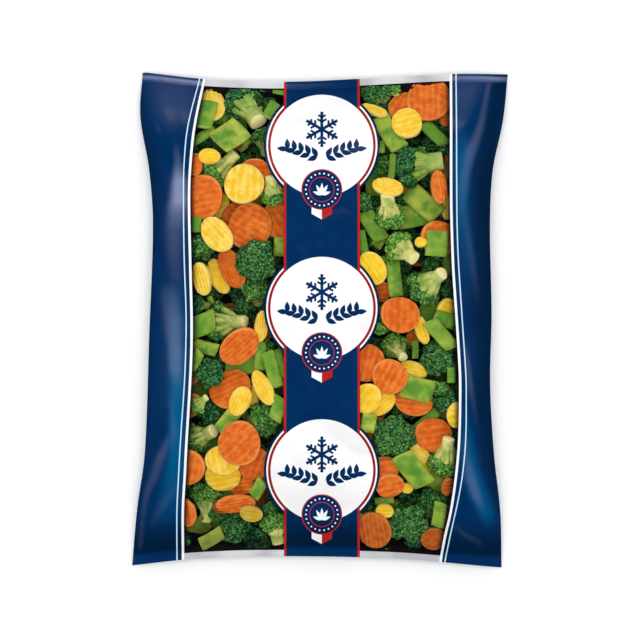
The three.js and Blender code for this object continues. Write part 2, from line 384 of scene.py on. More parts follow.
# What is printed on the front, in millimetres on the bag: (up, across) stations of the white lines' middles
printed = {
    "lines": {
        "leftThin": {"width": 0.95, "at": [
            (-187.9, -112.3), (-148.9, -112), (-121.6, -110.6), (-93.5, -109), (-50.6, -106), (-24.1, -104.9),
            (4, -104.6), (51.6, -106.2), (94.5, -106.7), (119.4, -106.4), (150.6, -103.6), (188.6, -94.6)]},
        "leftThick": {"width": 1.9, "at": [
            (-187.9, -107.6), (-148.9, -107.4), (-121.6, -105.8), (-93.5, -104.3), (-50.6, -101.6),
            (-24.1, -100.5),
            (0, -100.3), (39.9, -101.3), (94.5, -102.4), (119.4, -101.5), (150.6, -98.4), (187.9, -91.1)]},
        "rightThick": {"width": 1.9, "at": [
            (-188.7, 94.1), (-170, 97.3), (-148.9, 101.9), (-121.6, 105.8), (-93.5, 108.2), (-59.2, 108.9),
            (-38.9, 108.6), (0, 106.2), (39.9, 103.5), (69.5, 102.4), (94.5, 101.9), (192.4, 102.2)]},
        "rightThin": {"width": 0.95, "at": [
            (-190.2, 97.3), (-168.4, 101.5), (-141.9, 107.2), (-121.6, 110.7), (-93.5, 113.3), (-59.2, 113.6),
            (-42, 113.3), (0, 110.5), (46.1, 107.5), (69.5, 106.6), (94.5, 106.3), (192.4, 106.2)]},
    },
    "band": {"middle": 1.15, "half": 29.7, "edge": 1.85},
    "shadeWidth": 6, "shadeRows": (0.15, 0.35, 0.65, 1),  # the windows' painted shade along the thick lines: its width, and where the mesh is cut across it
    "clearEnds": (5.2, 5.6),  # how much of the bottom and top seal is left pale beyond the windows
    # Painted light, shade and sheen on the navy film: strokes of (across, up, half width, strength) stations
    "tones": {
        # painted light: a brighter blue where the panels would catch the light
        "paintedLight": [
            [(-112, 30, 5, 0.1), (-112, 0, 6, 0.4), (-112, -40, 6, 0.85), (-112, -80, 6, 0.95),
             (-113, -112, 7, 0.8),
             (-116, -135, 9, 0.5), (-120, -152, 10, 0.25), (-122, -166, 8, 0)],
            [(110, 150, 4, 0.1), (111, 130, 7, 0.6), (110, 110, 6, 0.7), (110, 88, 5, 0.6), (113, 65, 6, 0.3),
             (117, 40, 6, 0.15), (122, 15, 5, 0)],
            [(113, -70, 3, 0.1), (115, -95, 5, 0.4), (117, -115, 6, 0.65), (123, -135, 7, 0.7),
             (130, -152, 6, 0.55),
             (134, -164, 4, 0)],
        ],
        # painted shade: a darker navy along the right fold and at the top left
        "paintedShadeAndDarkRing": [
            [(143, 192, 6, 0.65), (138, 170, 9, 0.55), (131, 140, 8, 0.6), (128, 110, 9, 0.6),
             (127, 30, 10, 0.55),
             (127, -60, 9, 0.55), (129, -95, 8, 0.5), (135, -125, 6, 0.4), (140, -150, 3, 0.2)],
            [(-141, 180, 6, 0.2), (-136, 140, 8, 0.3), (-128, 90, 8, 0.2), (-128, 40, 8, 0)],
        ],
        # painted sheen: pale lavender highlights along the creases
        "paintedSheen": [
            [(-116, 192, 20, 0.08), (-113, 168, 17, 0.08), (-112, 152, 10, 0.01)],
            [(-128, 155, 2, 0), (-127, 150, 2.5, 0.05), (-124, 144, 2, 0)],
            [(-113, 140, 2, 0), (-111, 122, 3, 0.18), (-110.5, 108, 5, 0.75), (-110.5, 94, 6, 0.8),
             (-112, 84, 7, 0.35),
             (-114, 70, 7, 0.13), (-114, 50, 6, 0.08), (-113, 36, 5, 0.05)],
            [(-118, 32, 4, 0), (-118, 20, 6.5, 0.09), (-115, 0, 6.5, 0.2), (-113.5, -20, 5.5, 0.25),
             (-113, -38, 5, 0.18), (-111, -52, 3.5, 0)],
            [(-118, -58, 1.5, 0), (-115.5, -72, 1.8, 0.05), (-114.5, -88, 2.5, 0.07), (-116, -103, 2, 0)],
            [(-117, -86, 1.5, 0), (-120.5, -97, 2.5, 0.1), (-125, -108, 3.5, 0.13), (-130, -122, 3.5, 0.1),
             (-136, -137, 2.5, 0.08), (-139, -155, 2, 0.05), (-141, -178, 2, 0.04)],
            [(-113, -130, 2.5, 0.02), (-122, -143, 3.5, 0.05), (-130, -156, 2.5, 0.03), (-134, -165, 2, 0)],
            [(116, 192, 13, 0.08), (112, 175, 10, 0.085), (108, 157, 6, 0.06), (106, 143, 3, 0)],
            [(133, 190, 2, 0.1), (130.5, 178, 2, 0.12), (127, 160, 2.5, 0.11), (124, 148, 3, 0.14),
             (118, 133, 4, 0.17),
             (114, 118, 3.5, 0.12), (111, 100, 4, 0.07), (110, 85, 3, 0.03)],
            [(112, 86, 2, 0), (115, 66, 2.5, 0.045), (119, 42, 2.5, 0.045), (122, 22, 2.5, 0.02),
             (124, 5, 2, 0)],
            [(112, -14, 1.5, 0), (114.5, -32, 2, 0.12), (117, -52, 2.2, 0.11), (120, -70, 2, 0.04),
             (123, -86, 1.5, 0)],
            [(112, -90, 2, 0.03), (114, -108, 3, 0.09), (117, -124, 4, 0.16), (122, -138, 3.5, 0.15),
             (128, -150, 2, 0)],
            [(104, -160, 2, 0.03), (113, -168, 2, 0.05), (124, -174, 2, 0.04), (128, -176, 1.5, 0)],
        ],
    },
    # Painted sheen lies on the top seal too: (across, strength) stations, and how far from the top it starts,
    # is full, fades and ends. Above the bottom seal painted shade darkens the film in the same way.
    "paintedSealSheen": [(-150, 0.2), (-136, 0.5), (-96, 0.72), (-30, 0.15), (0, 0.05), (30, 0.0), (100, 0.4),
                  (136, 0.6), (149, 0.2)],
    "sealSheenSpan": (1.4, 2.8, 4.4, 6.4), "lowPaintedShade": 0.7, "lowPaintedShadeSpan": (7, 10, 12, 42),
    "discs": {"at": [136.2, 9.2, -117.2], "radius": 39.95, "redRing": 41.95, "whiteRing": 43.25,
              "navyRing": 45.1, "ringDarkening": 0.5},
    "badge": {"below": 34.6, "radius": 15.9, "ring": 0.8, "innerRing": 9.9, "innerEdge": 0.6, "beads": 22,
              "beadRadius": 0.7, "beadsAt": 12.5, "step": 1.3},
    "ribbon": {"half": 8, "side": 19, "point": 23.4},
    "snowflake": {"up": 12.5, "radius": 14, "arm": 2.3, "twig": 1.7, "twigTurn": 58,
                  "twigs": ((0.42, 0.3), (0.68, 0.24))},  # how far along the arm, how long
    "sprig": {"up": -3, "droop": 7, "reach": 29, "leaves": 5, "leaf": 8.6, "leafWidth": 4.2, "fan": 35,
              "tips": (0.95, -0.45)},
    "fan": {"turns": (0.35, 1.05, 1.57, 2.09, 2.79), "below": 4.2, "leaf": 6.2, "longer": 3.2,
            "leafWidth": 2.7},
    "emblemReach": 35,  # none of the closed outlines reaches further from its middle
}
domainWidth = 300


# The film laid out flat to be cut, stretched out towards the folds
def toDomain(across, share):
    return np.stack([np.arccos(np.clip(-across, -1, 1)) * domainWidth / math.pi, share * bag["length"]], -1)


def fromDomain(points):
    return -np.cos(points[:, 0] * math.pi / domainWidth), points[:, 1] / bag["length"]


# Curves to cut the film along, each with whether it is closed. One runs the film's whole length, at a given
# place for each height, one runs straight across, and one goes round a shape.
def columnCurve(placeAt, count):
    share, across = np.linspace(0, 1, count), np.zeros(count)
    for _ in range(curveRounds):
        across = acrossOf(placeAt(blendBetween(*endsAt(across), share)), share)
    return toDomain(across, share), False


def rowCurve(share, count):
    return toDomain(np.linspace(-1, 1, count), np.full(count, share)), False


def shapeCurve(points):
    return toDomain(*placeOf(*points.T)), True


def circle(x, y, radius, step=1.6):
    angles = np.linspace(0, 2 * math.pi, max(8, int(2 * math.pi * radius / step)), endpoint=False)
    return np.stack([x + radius * np.cos(angles), y + radius * np.sin(angles)], -1)


def bar(x, y, turn, length, width):
    along, aside = np.array([math.cos(turn), math.sin(turn)]), np.array([-math.sin(turn), math.cos(turn)])
    start = np.array([x, y])
    return np.array([start - aside * width / 2, start + along * length - aside * width / 2,
                     start + along * length + aside * width / 2, start + aside * width / 2])


def leaf(x, y, turn, length, width):
    t = np.linspace(0, 1, 7)
    side = width / 2 * np.sin(math.pi * t ** 0.8)
    upper, lower = np.stack([t * length, side], -1), np.stack([t * length, -side], -1)
    outlinePoints = np.concatenate([upper, lower[-2:0:-1]])
    turned = np.array([[math.cos(turn), math.sin(turn)], [-math.sin(turn), math.cos(turn)]])
    return outlinePoints @ turned + (x, y)


# Closed outlines printed in each disc and badge, each with its colour, later ones over earlier ones
def snowflakeShapes(middleX, middleY):
    flake = printed["snowflake"]
    for i in range(6):
        turn = math.radians(90 + 60 * i)
        yield "navy", bar(middleX, middleY, turn, flake["radius"], flake["arm"])
        for share, length in flake["twigs"]:
            x = middleX + flake["radius"] * share * math.cos(turn)
            y = middleY + flake["radius"] * share * math.sin(turn)
            for side in (-1, 1):
                twigTurn = turn + side * math.radians(flake["twigTurn"])
                yield "navy", bar(x, y, twigTurn, flake["radius"] * length, flake["twig"])


def sprigShapes(middleX, middleY, side):
    sprig = printed["sprig"]
    for i in range(sprig["leaves"]):
        t = (i + 0.6) / sprig["leaves"]
        x, y = middleX + side * sprig["reach"] * t, middleY - sprig["droop"] * (1 - t) ** 1.5
        for tip in sprig["tips"]:
            turn = math.radians(sprig["fan"] * t) + tip
            yield "navy", leaf(x, y, turn if side > 0 else math.pi - turn, sprig["leaf"], sprig["leafWidth"])


def badgeShapes(x, y):
    badge, ribbon, fan = (printed[key] for key in ("badge", "ribbon", "fan"))
    half, point, sideEnd = ribbon["half"], y - ribbon["point"], y - ribbon["side"]
    yield "white", np.array([(x - half, y), (x - half, sideEnd), (x, point), (x, y)])
    yield "red", np.array([(x, y), (x, point), (x + half, sideEnd), (x + half, y)])
    yield "red", circle(x, y, badge["radius"], badge["step"])
    yield "navy", circle(x, y, badge["radius"] - badge["ring"], badge["step"])
    yield "red", circle(x, y, badge["innerRing"], badge["step"])
    yield "navy", circle(x, y, badge["innerRing"] - badge["innerEdge"], badge["step"])
    for i in range(badge["beads"]):
        turn = 2 * math.pi * i / badge["beads"]
        beadX, beadY = x + badge["beadsAt"] * math.cos(turn), y + badge["beadsAt"] * math.sin(turn)
        yield "white", circle(beadX, beadY, badge["beadRadius"])
    for turn in fan["turns"]:
        length = fan["leaf"] + fan["longer"] * math.sin(turn)
        yield "white", leaf(x, y - fan["below"], turn, length, fan["leafWidth"])


def emblem(x, y):
    return [*snowflakeShapes(x, y + printed["snowflake"]["up"]),
            *(shape for side in (-1, 1) for shape in sprigShapes(x, y + printed["sprig"]["up"], side)),
            *badgeShapes(x, y - printed["badge"]["below"])]


# Which points lie inside a closed outline
def inside(points, outlinePoints):
    x, y = points[:, 0], points[:, 1]
    result = np.zeros(len(points), bool)
    for (x0, y0), (x1, y1) in zip(outlinePoints, np.roll(outlinePoints, -1, 0)):
        if y0 != y1:
            crosses = (y0 > y) != (y1 > y)
            result ^= crosses & (x < x0 + (y - y0) * (x1 - x0) / (y1 - y0))
    return result


# Triangles over the whole film that keep to the given curves
def triangulate(curves, step):
    height = bag["length"]
    rowStep, least = 0.9 * step, 0.6 * step  # between rows, and between a curve and the points beside it
    across, up = np.arange(0, domainWidth, rowStep), np.arange(0, height, step)
    rim = np.concatenate([np.stack(np.broadcast_arrays(*side), -1) for side in (
        (across, 0.0), (domainWidth, up), (domainWidth - across, height), (0.0, height - up))])
    points, edges = [], []
    for curve, closed in [(rim, True)] + curves:
        start, count = len(points), len(curve)
        points.extend(map(tuple, curve))
        edges.extend((start + i, start + i + 1) for i in range(count - 1))
        if closed:
            edges.append((start + count - 1, start))
    tree = kdtree.KDTree(len(points))
    for i, (x, y) in enumerate(points):
        tree.insert((x, y, 0), i)
    tree.balance()
    for row, y in enumerate(np.arange(rowStep, height, rowStep)):
        for x in np.arange(step * (0.5 + 0.5 * (row % 2)), domainWidth, step):
            if tree.find((x, y, 0))[2] > least:
                points.append((x, y))
    found = delaunay_2d_cdt([Vector(p) for p in points], edges, [], 0, 1e-4)
    return np.array([v[:] for v in found[0]]), np.array(found[2])


# The place of a printed line for a height: its left edge at side -1, its middle at 0, its right edge at 1
def lineAt(name, side, inset=0.0):
    line = printed["lines"][name]
    return lambda y: through(line["at"], y) + side * line["width"] / 2 + inset


bandMiddle, bandHalf = printed["band"]["middle"], printed["band"]["half"]
bandInner = bandHalf - printed["band"]["edge"]
emblems = [shape for y in printed["discs"]["at"] for shape in emblem(bandMiddle, y)]
sealShare = bag["sealWidth"] / bag["length"]
clearShares = printed["clearEnds"][0] / bag["length"], 1 - printed["clearEnds"][1] / bag["length"]
windowSides = (("leftThick", 1), ("rightThick", -1))  # the lines beside the windows, and where the window is
steps = {"column": 190, "shade": 120, "row": 170, "backColumn": 60, "backRow": 57}
sheenShares = [1 - place / bag["length"] for place in printed["sealSheenSpan"][:2]]
frontRows = [sealShare, 1 - sealShare, *clearShares, *sheenShares]
backShares = [place / bag["length"] for place in bag["backRows"]]
backRows = [row for share in backShares for row in (share, 1 - share)]


def bandCurves(offsets, count):
    return [columnCurve(lambda y: np.full(len(y), bandMiddle + offset), count) for offset in offsets]


frontCurves = [columnCurve(lineAt(name, side), steps["column"])
               for name in printed["lines"] for side in (-1, 1)]
for name, side in windowSides:
    for share in printed["shadeRows"]:
        inset = side * share * printed["shadeWidth"]
        frontCurves.append(columnCurve(lineAt(name, side, inset), steps["shade"]))
frontCurves += bandCurves((-bandHalf, -bandInner, bandInner, bandHalf), steps["column"])
rows = [rowCurve(share, steps["row"]) for share in frontRows]
frontCurves += rows
for y in printed["discs"]["at"]:
    for key in ("radius", "redRing", "whiteRing", "navyRing"):
        frontCurves.append(shapeCurve(circle(bandMiddle, y, printed["discs"][key])))
frontCurves += [shapeCurve(points) for colour, points in emblems]
backCurves = [(points[::3], isClosed) for points, isClosed in rows]
backCurves += [rowCurve(share, steps["backRow"]) for share in backRows]
backCurves += [columnCurve(lineAt(name, side), steps["backColumn"]) for name, side in windowSides]
backCurves += bandCurves((-bandHalf, bandHalf), steps["backColumn"])


# 0 outside a span and 1 in its middle part, given where it starts, is full, fades and ends
def plateau(value, start, full, fading, end):
    return smoothStep(value, start, full) * (1 - smoothStep(value, fading, end))


# How strong a tone of the film is at each place; on the navy the tones are painted light, shade and sheen
def toneAt(kind, x, y, fromTop, fromBottom):
    tone, ringSlack = np.zeros(len(x)), 0.01
    if kind == "ice":
        for name in ("leftThin", "rightThin"):
            tone[np.abs(x - lineAt(name, 0)(y)) < printed["lines"][name]["width"]] = 1
    discs = printed["discs"]
    for middleY in discs["at"]:
        away = np.hypot(x - bandMiddle, y - middleY)
        beside = np.abs(x - bandMiddle) > bandHalf - ringSlack
        onRing = beside & (away > discs["radius"] - ringSlack) & (away < discs["navyRing"] + ringSlack)
        # the rings round each disc: the red one drawn darker red, the navy one darker navy
        tone[onRing] = {"ring": 1, "paintedShadeAndDarkRing": discs["ringDarkening"]}.get(kind, 0)
    for stroke in printed["tones"].get(kind, []):
        for (x0, y0, width0, strength0), (x1, y1, width1, strength1) in zip(stroke, stroke[1:]):
            dx, dy = x1 - x0, y1 - y0
            along = np.clip(((x - x0) * dx + (y - y0) * dy) / (dx * dx + dy * dy), 0, 1)
            away = np.hypot(x - x0 - along * dx, y - y0 - along * dy) / blendBetween(width0, width1, along)
            tone = np.maximum(tone, blendBetween(strength0, strength1, along) * np.exp(-away ** 3))
    # painted sheen along the top seal
    if kind == "paintedSheen":
        tone = np.maximum(tone, through(printed["paintedSealSheen"], x) * plateau(fromTop, *printed["sealSheenSpan"]))
    # painted shade above the bottom seal
    if kind == "paintedShadeAndDarkRing":
        tone = np.maximum(tone, printed["lowPaintedShade"] * plateau(fromBottom, *printed["lowPaintedShadeSpan"]))
    return tone


# The film's colour at each place: the windows and seals first, and the print over them where it is wanted
def zonesOf(x, y, share, withPrint):
    zone = np.full(len(x), "navy", dtype="<U6")
    offset = x - bandMiddle
    clearLeft = (x > lineAt("leftThick", 1)(y)) & (offset < -bandHalf)
    clear = clearLeft | ((offset > bandHalf) & (x < lineAt("rightThick", -1)(y)))
    zone[clear] = "window"
    zone[clear & ((share < clearShares[0]) | (share > clearShares[1]))] = "seal"
    if not withPrint:
        return zone
    for name in printed["lines"]:
        zone[(x > lineAt(name, -1)(y)) & (x < lineAt(name, 1)(y))] = "white"
    zone[np.abs(offset) < bandHalf] = "red"
    zone[np.abs(offset) < bandInner] = "navy"
    discs = printed["discs"]
    for middleY in discs["at"]:
        away = np.hypot(offset, y - middleY)
        beside = np.abs(offset) > bandHalf
        for key, colour in (("navyRing", "navy"), ("whiteRing", "white"), ("redRing", "red")):
            zone[beside & (away < discs[key])] = colour
        zone[away < discs["radius"]] = "white"
    spots, reach = np.stack([x, y], -1), printed["emblemReach"]
    for colour, points in emblems:
        near = np.flatnonzero((np.abs(spots - points.mean(0)) < reach).all(1))
        zone[near[inside(spots[near], points)]] = colour
    return zone


def vertexNormals(points, faces):
    corners = points[faces]
    across = np.cross(corners[:, 1] - corners[:, 0], corners[:, 2] - corners[:, 0])
    normals = np.zeros_like(points)
    for k in range(3):
        np.add.at(normals, faces[:, k], across)
    return normals / np.maximum(np.linalg.norm(normals, axis=1, keepdims=True), 1e-12)


def makePiece(name, points, faces, material, normals=None):
    mesh = bpy.data.meshes.new(name)
    mesh.from_pydata(((points + centreShift) * mm).tolist(), [], faces)
    mesh.materials.append(material)
    mesh.shade_smooth()
    if normals is not None:
        mesh.normals_split_custom_set_from_vertices(normals.tolist())
    return stand(name, mesh)


def stand(name, mesh):
    piece = bpy.data.objects.new(name, mesh)
    scene.collection.objects.link(piece)
    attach(piece, "root")
    return piece


# One side of the film: a mesh cut along its curves, and a piece for each colour of its print
def dressFilm(side, curves, step, surfaceOf):
    spots, faces = triangulate(curves, step)
    points, middles = surfaceOf(*fromDomain(spots)), fromDomain(spots[faces].mean(1))
    zone = zonesOf(*planOf(*middles), middles[1], side == "front")
    if side == "back":
        faces = faces[:, ::-1]
        zone[zone == "window"] = "navy"
    normals = vertexNormals(points, faces)
    for name in sorted(set(zone)):
        used, own = np.unique(faces[zone == name], return_inverse=True)
        own = own.reshape(-1, 3).tolist()
        piece = makePiece(f"{side}_{name}", points[used], own, film[name], normals[used])
        x, y, up = points[used, 0], points[used, 1], spots[used, 1]
        # how near the thick lines, for the window's painted shade
        if name == "window":
            inset = np.min([np.abs(x - lineAt(*windowSide)(y)) for windowSide in windowSides], axis=0)
            markPoints(piece.data, "edge", np.clip(1 - inset / printed["shadeWidth"], 0, 1) ** 1.5)
        # the tones: on the navy painted light, shade and sheen
        for tone in filmFinish[name].get("tones", {}) if side == "front" else ():
            markPoints(piece.data, tone, toneAt(tone, x, y, bag["length"] - up, up))
        if piece.name == "front_navy":
            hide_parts("bag")
    print(side, "film:", len(faces), "triangles")


dressFilm("front", frontCurves, bag["meshStep"], frontFilm)
dressFilm("back", backCurves, bag["backMeshStep"], backFilm)


# Shares of the bag's length between two, which crowd towards both and keep to the seals' inner edges
def crowdedShares(low, high, count):
    even = np.linspace(0, 1, count)
    crowded = blendBetween(even, 0.5 - 0.5 * np.cos(math.pi * even), bag["rowCrowding"])
    shares = blendBetween(low, high, crowded)
    return np.sort(np.append(shares, (sealShare, 1 - sealShare)))


# Closed skins through rings of points. A flat one's ends are bridged, as a ring's middle may lie outside it.
def loftRings(rings, isFlat=False):
    count, around = rings.shape[:2]
    points, last = rings.reshape(-1, 3), (count - 1) * around
    faces = []
    for i in range(count - 1):
        for j in range(around):
            k = (j + 1) % around
            faces.append((i * around + j, i * around + k, (i + 1) * around + k, (i + 1) * around + j))
    for j in range(around // 2 - 1) if isFlat else ():
        k = around - 1 - j
        faces += [(k, k - 1, j + 1, j), (last + j, last + j + 1, last + k - 1, last + k)]
    for ring, start in () if isFlat else ((rings[0], 0), (rings[-1], last)):
        middle = len(points)
        points = np.vstack([points, ring.mean(0)])
        for j in range(around):
            pair = (start + j, start + (j + 1) % around)
            faces.append((middle, pair[1], pair[0]) if start == 0 else (middle, *pair))
    return points, faces


def makeBackSeam():
    half, gap = bag["lapWidth"] / 2 / bag["halfWidth"], bag["lapEndGap"]
    across = np.array([-half, half, half, -half])
    lift = np.array([bag["lapLift"]] * 2 + [-bag["lapRise"]] * 2)
    rings = [backFilm(across, np.full(4, share)) for share in crowdedShares(gap, 1 - gap, bag["lapRows"])]
    points, faces = loftRings(np.array(rings) + lift[:, None] * (0, 0, 1), isFlat=True)
    makePiece("back_seam", points, faces, film["navy"])


makeBackSeam()

# The pieces inside, top layer 0, in millimetres and degrees. Each row of a slice: across, up, radius, how
# narrow it looks, way of its long side, layer, way of its ridges. Beans: across, up, length, width, way,
# slant of the cuts, layer, paleness. Broccoli: across, up, radius, lean, way of its stem, layer, paleness.
# A value more is how much painted shade darkens the piece.
contents = {
    "carrots": [
        (-92, 96, 17, 1, 0, 0.4, 8), (-55, 73, 18, 1, 0, 0.1, -30), (-60, 76, 18.5, 0.95, 0, 1.3, -40),
        (-30, 79, 16, 1, 0, 1.2, -60), (-52, 111, 15, 1, 0, 1.3, 0), (-98, 121, 9, 0.7, 90, 1.6, 0),
        (-69, 40, 17, 0.55, -65, 0.3, -65), (-63, -20.5, 18, 0.68, 42, 0, 42),
        (-70, -54, 17.5, 0.85, 20, 0.7, 65), (-63, -96, 18, 0.92, 40, 0, 20),
        (-53, -111, 14.5, 1, 0, 1.1, 70), (-57, -128, 7, 0.8, 90, 1.4, 0), (-62, -131, 9.5, 0.7, 10, 1.5, 0),
        (-103.5, -115, 14, 1, 0, 0.2, 75), (-106, -150.5, 12, 0.8, 90, 0.3, 80),
        (-66, -143.5, 15.5, 0.5, 8, 0.15, 5), (-78, -146, 6, 0.8, 0, 0.6, 0, 0.4),
        (85, 172.3, 17.2, 1.36, 0, 0.2, 88), (69, 165, 16, 1, 0, 1.1, 50),
        (97.5, 156.5, 5.5, 0.8, 90, 2, 0, 0.35), (92.5, 103.5, 13.5, 0.5, 93, 0.3, 93),
        (92, 63.5, 14.3, 1, 0, 1.2, 0), (48, 22, 8, 0.8, 90, 1.5, 0, 0.2), (62, 4, 15.4, 0.93, 0, 0, 85),
        (72, -14, 6.5, 0.8, 60, 1.5, 0, 0.35), (35, -33, 15.5, 0.95, 90, 0.8, 75),
        (54, -44, 14, 1, 0, 0, 60), (73, -63, 16, 0.72, -5, 1, -5), (88, -89.5, 15, 0.9, 10, 0.1, 18),
        (50, -117, 11.5, 0.9, 0, 1, 0), (54, -129, 10.8, 0.95, 0, 0.3, 10),
        (99, -130, 7, 0.7, 90, 1.8, 0, 0.35), (42, -164, 18.5, 0.7, 90, 0.2, 90, 0.25),
        (88.5, -171, 10.5, 0.85, 30, 0.3, 20, 0.4),
    ],
    "yellowCarrots": [
        (-85, 168, 15.5, 0.68, 85, 0.8, 85), (-86.5, 127.5, 8.5, 0.75, 0, 0.2, 0),
        (-59.5, 106, 15.9, 1, 0, 0, 85), (-81, 90, 10.8, 1, 0, 1.5, 0),
        (-80.5, 66.5, 15.2, 0.72, -50, 0, -80), (-92.5, 32, 13, 0.6, -75, 0.2, -75),
        (-79.5, 34, 14.5, 0.52, -65, 0.4, -65), (-46, -5, 12.3, 0.45, 85, 0.6, 85),
        (-62.5, -63, 12.6, 0.62, 65, 0, 65), (-53, -60, 9, 0.6, 85, 1.2, 85),
        (-44.5, -53, 15.5, 0.42, -65, 0, -65), (-75.5, -109, 14.3, 0.85, 10, 0.1, 60),
        (-76, -120.5, 14.5, 0.97, 0, 0.2, 10), (-54, -151, 9.5, 0.65, -10, 0.1, 0, 0.38),
        (67.5, 153.5, 12.4, 1, 0, 0, 15), (42, 163.6, 11.5, 0.4, -24, 0, -24, 0.1),
        (52.5, 103.5, 12.8, 0.55, -12, 0.1, -12), (99.5, 88, 10.5, 0.5, 90, 1, 90),
        (78, 60.5, 4.6, 0.9, 0, 0.2, 0), (40, 40, 13.5, 0.82, -55, 0.1, -60),
        (98, 8.5, 8.8, 0.9, 60, 0.8, 0), (79, -8, 11.7, 0.45, -75, 0.2, -75),
        (72, -39, 12, 0.55, -15, 0.8, -15), (36, -61, 12, 0.95, 90, 0.2, 50),
        (47, -64, 13, 0.7, 40, 0.9, 40), (106, -74, 10.7, 0.7, 90, 0.8, 0),
        (78.5, -107.5, 13, 0.6, -50, 0.4, -50), (50, -149, 7, 0.9, 0, 1, 0), (67.5, -131, 5, 0.8, 0, 1.2, 0),
    ],
    "beans": [
        (-89.5, 160.5, 25, 15.5, 82, 0, 0, 0.35), (-93, 143, 24, 8.5, 35, 0, 0.9, 0.3),
        (-70.5, 144, 25, 24, 45, 0, 0, 1), (-72, 162, 20, 8, 60, 0, 0.9, 0, 0.3),
        (-38, 164, 15, 10, 70, 0.2, 1, 0.1), (-31, 179, 12, 8, -20, 0, 1, 0.1),
        (-98, 74.5, 12, 11, 85, 0, 0.9, 0.2), (-31.5, 57, 15, 10, 88, 0, 0.5, 0.7),
        (-85, 14, 9, 5, -60, 0, 1.4, 0.8), (-93, -4, 24, 17, 20, 0.3, 0.1, 0.3),
        (-90, -21.5, 21, 10.5, -12, 0.2, 0.3, 0.6), (-97, -31, 15, 9, 60, 0.3, 0.1, 0.5),
        (-59, -35, 31, 15, 10, 0.2, 1, 0.3), (-47, -28, 22, 9, 88, 0, 0.7, 0.5),
        (-37.5, -38.5, 29, 10.5, -73, 0, 0.1, 0.35), (-31, -34, 23, 7, -76, 0, 0.8, 0.2),
        (-33, -69, 19, 11, 75, 0.3, 0.25, 0.5), (-71, -77, 25, 12, 52, 0.2, 0.1, 1),
        (-48.5, -131.5, 15, 10, 60, 0.3, 0.7, 0.5), (-85, -171, 21, 13, 42, 0.3, 0.15, 0.9, 0.35),
        (54, 146, 32, 15.5, -62, 0, 0.5, 0.65), (89, 145.5, 23.5, 10.5, -48, 0.3, 0.2, 0.1),
        (48, 135, 9, 6, 80, 0, 1, 0.6), (56, 120, 19, 5.5, 85, 0, 0.05, 0.2, 0.2),
        (80.5, 91, 31, 17.5, -43, 0, 0.3, 0.8), (73, 81.5, 27, 19, 12, 0, 0.6, 0.6),
        (41, 73, 26, 13, -58, 0.2, 0.2, 0.4), (46, 62, 12, 9, 60, 0.2, 0.5, 1),
        (33, 60, 20, 7, -80, 0, 1, 0.1), (91, 59.5, 20, 18, 85, 0, 0.3, 0.35),
        (57.5, 32, 28, 12, -84, 0, 0.3, 0.65), (52, 47.5, 10, 5.5, 10, 0, 0.7, 0.3),
        (97, 0, 18, 12, -15, 0.2, 0.3, 0.2), (94, -11.5, 29, 13, -44, 0.3, 0, 0.55),
        (74, -23, 14, 5, 90, 0, 1.2, 0.6, 0.3), (76, -54, 25, 18.5, -14, 0.2, 0, 0.6),
        (102, -43, 12, 7, 90, 0, 0.05, 0.2), (37.5, -80, 15, 11.5, 80, 0, 0.1, 1),
        (78, -83, 36, 9, 42, 0, 1, 0.4), (72, -117, 33, 17.5, -53, 0.2, 0, 0.55),
        (50, -141, 15, 6, 5, 0, 1, 0.4, 0.2), (93, -152, 20, 10.5, 84, 0.2, 0.2, 0.4),
    ],
    "broccoli": [
        (-59, 170, 18.5, 97, -67, 0.1, 0.12), (-69, 160, 9, 20, 0, 1.2, 0.15),
        (-80, 116, 15, 105, 43, 0.6, 0.85), (-45, 142, 10, 50, -85, 1, 0.35), (-37, 98, 11, 120, 95, 0.3, 1),
        (-94, 56, 12, 25, 90, 0.2, 0.5), (-50, 46, 17.8, 15, 0, 0, 0.25), (-50, 23, 12.5, 30, -90, 0.3, 0.6),
        (-60, 10, 8, 20, 0, 1.2, 0.2), (-96, 12, 8, 20, 0, 1.2, 0, 0.3), (-78, -1, 17, 110, 0, 0.1, 0.45),
        (-42, -21, 7, 20, 0, 1, 0.4), (-85, -41, 13, 20, 0, 0.2, 0.12), (-96, -66, 8.5, 100, 42, 0.4, 0.75),
        (-85, -72, 11, 15, 0, 1, 0.05), (-95, -92, 13.5, 110, 25, 0.3, 0.55),
        (-44, -77, 14.8, 35, 200, 0.3, 0.6), (-88, -138, 15, 105, -95, 0.9, 0.8),
        (-66, -161, 15.5, 20, 224, 0.2, 0.15), (-49, -171, 13, 20, 0, 0.5, 0, 0.65),
        (-36, -160, 12, 110, -80, 0.3, 0.85), (-39, -147, 6, 20, 0, 0.9, 0.4),
        (45, 178, 14.5, 25, -60, 0.02, 0.2), (58, 180, 6, 20, 0, 0, 0.9), (71, 120, 18, 100, 8, 0.1, 0.12),
        (78, 130, 6.5, 20, 0, 0.1, 0.95), (49, 121, 9, 30, 0, 0.7, 0.55), (54, 82, 13.5, 125, 105, 0, 0.9),
        (62, 92, 7, 20, 0, 0.6, 0.1), (34, 91, 8, 20, 0, 1, 0.25), (62, 56, 13.5, 128, -35, 0, 1),
        (83, 27, 16.5, 140, 35, 0.1, 0.5), (46, -7, 5.5, 20, 0, 0.3, 1),
        (58, -21, 12.5, 138, -60, 0.2, 0.85), (91, -30, 14.7, 20, 0, 0.1, 0.3),
        (97, -62, 11, 10, 0, 0.8, 0.15), (94, -53, 6, 20, 0, 0.6, 0.6), (57, -89, 19, 15, 0, 0.1, 0.32),
        (96.5, -109, 15, 108, 85, 0, 0.8), (70, -157, 17.5, 15, 0, 0.1, 0.3),
        (88, -143, 13.5, 20, 0, 0.4, 0.25), (73, -171, 9, 20, 0, 0.8, 0, 0.35),
        (97, 134, 8, 20, 0, 1.6, 0.1),
    ],
}

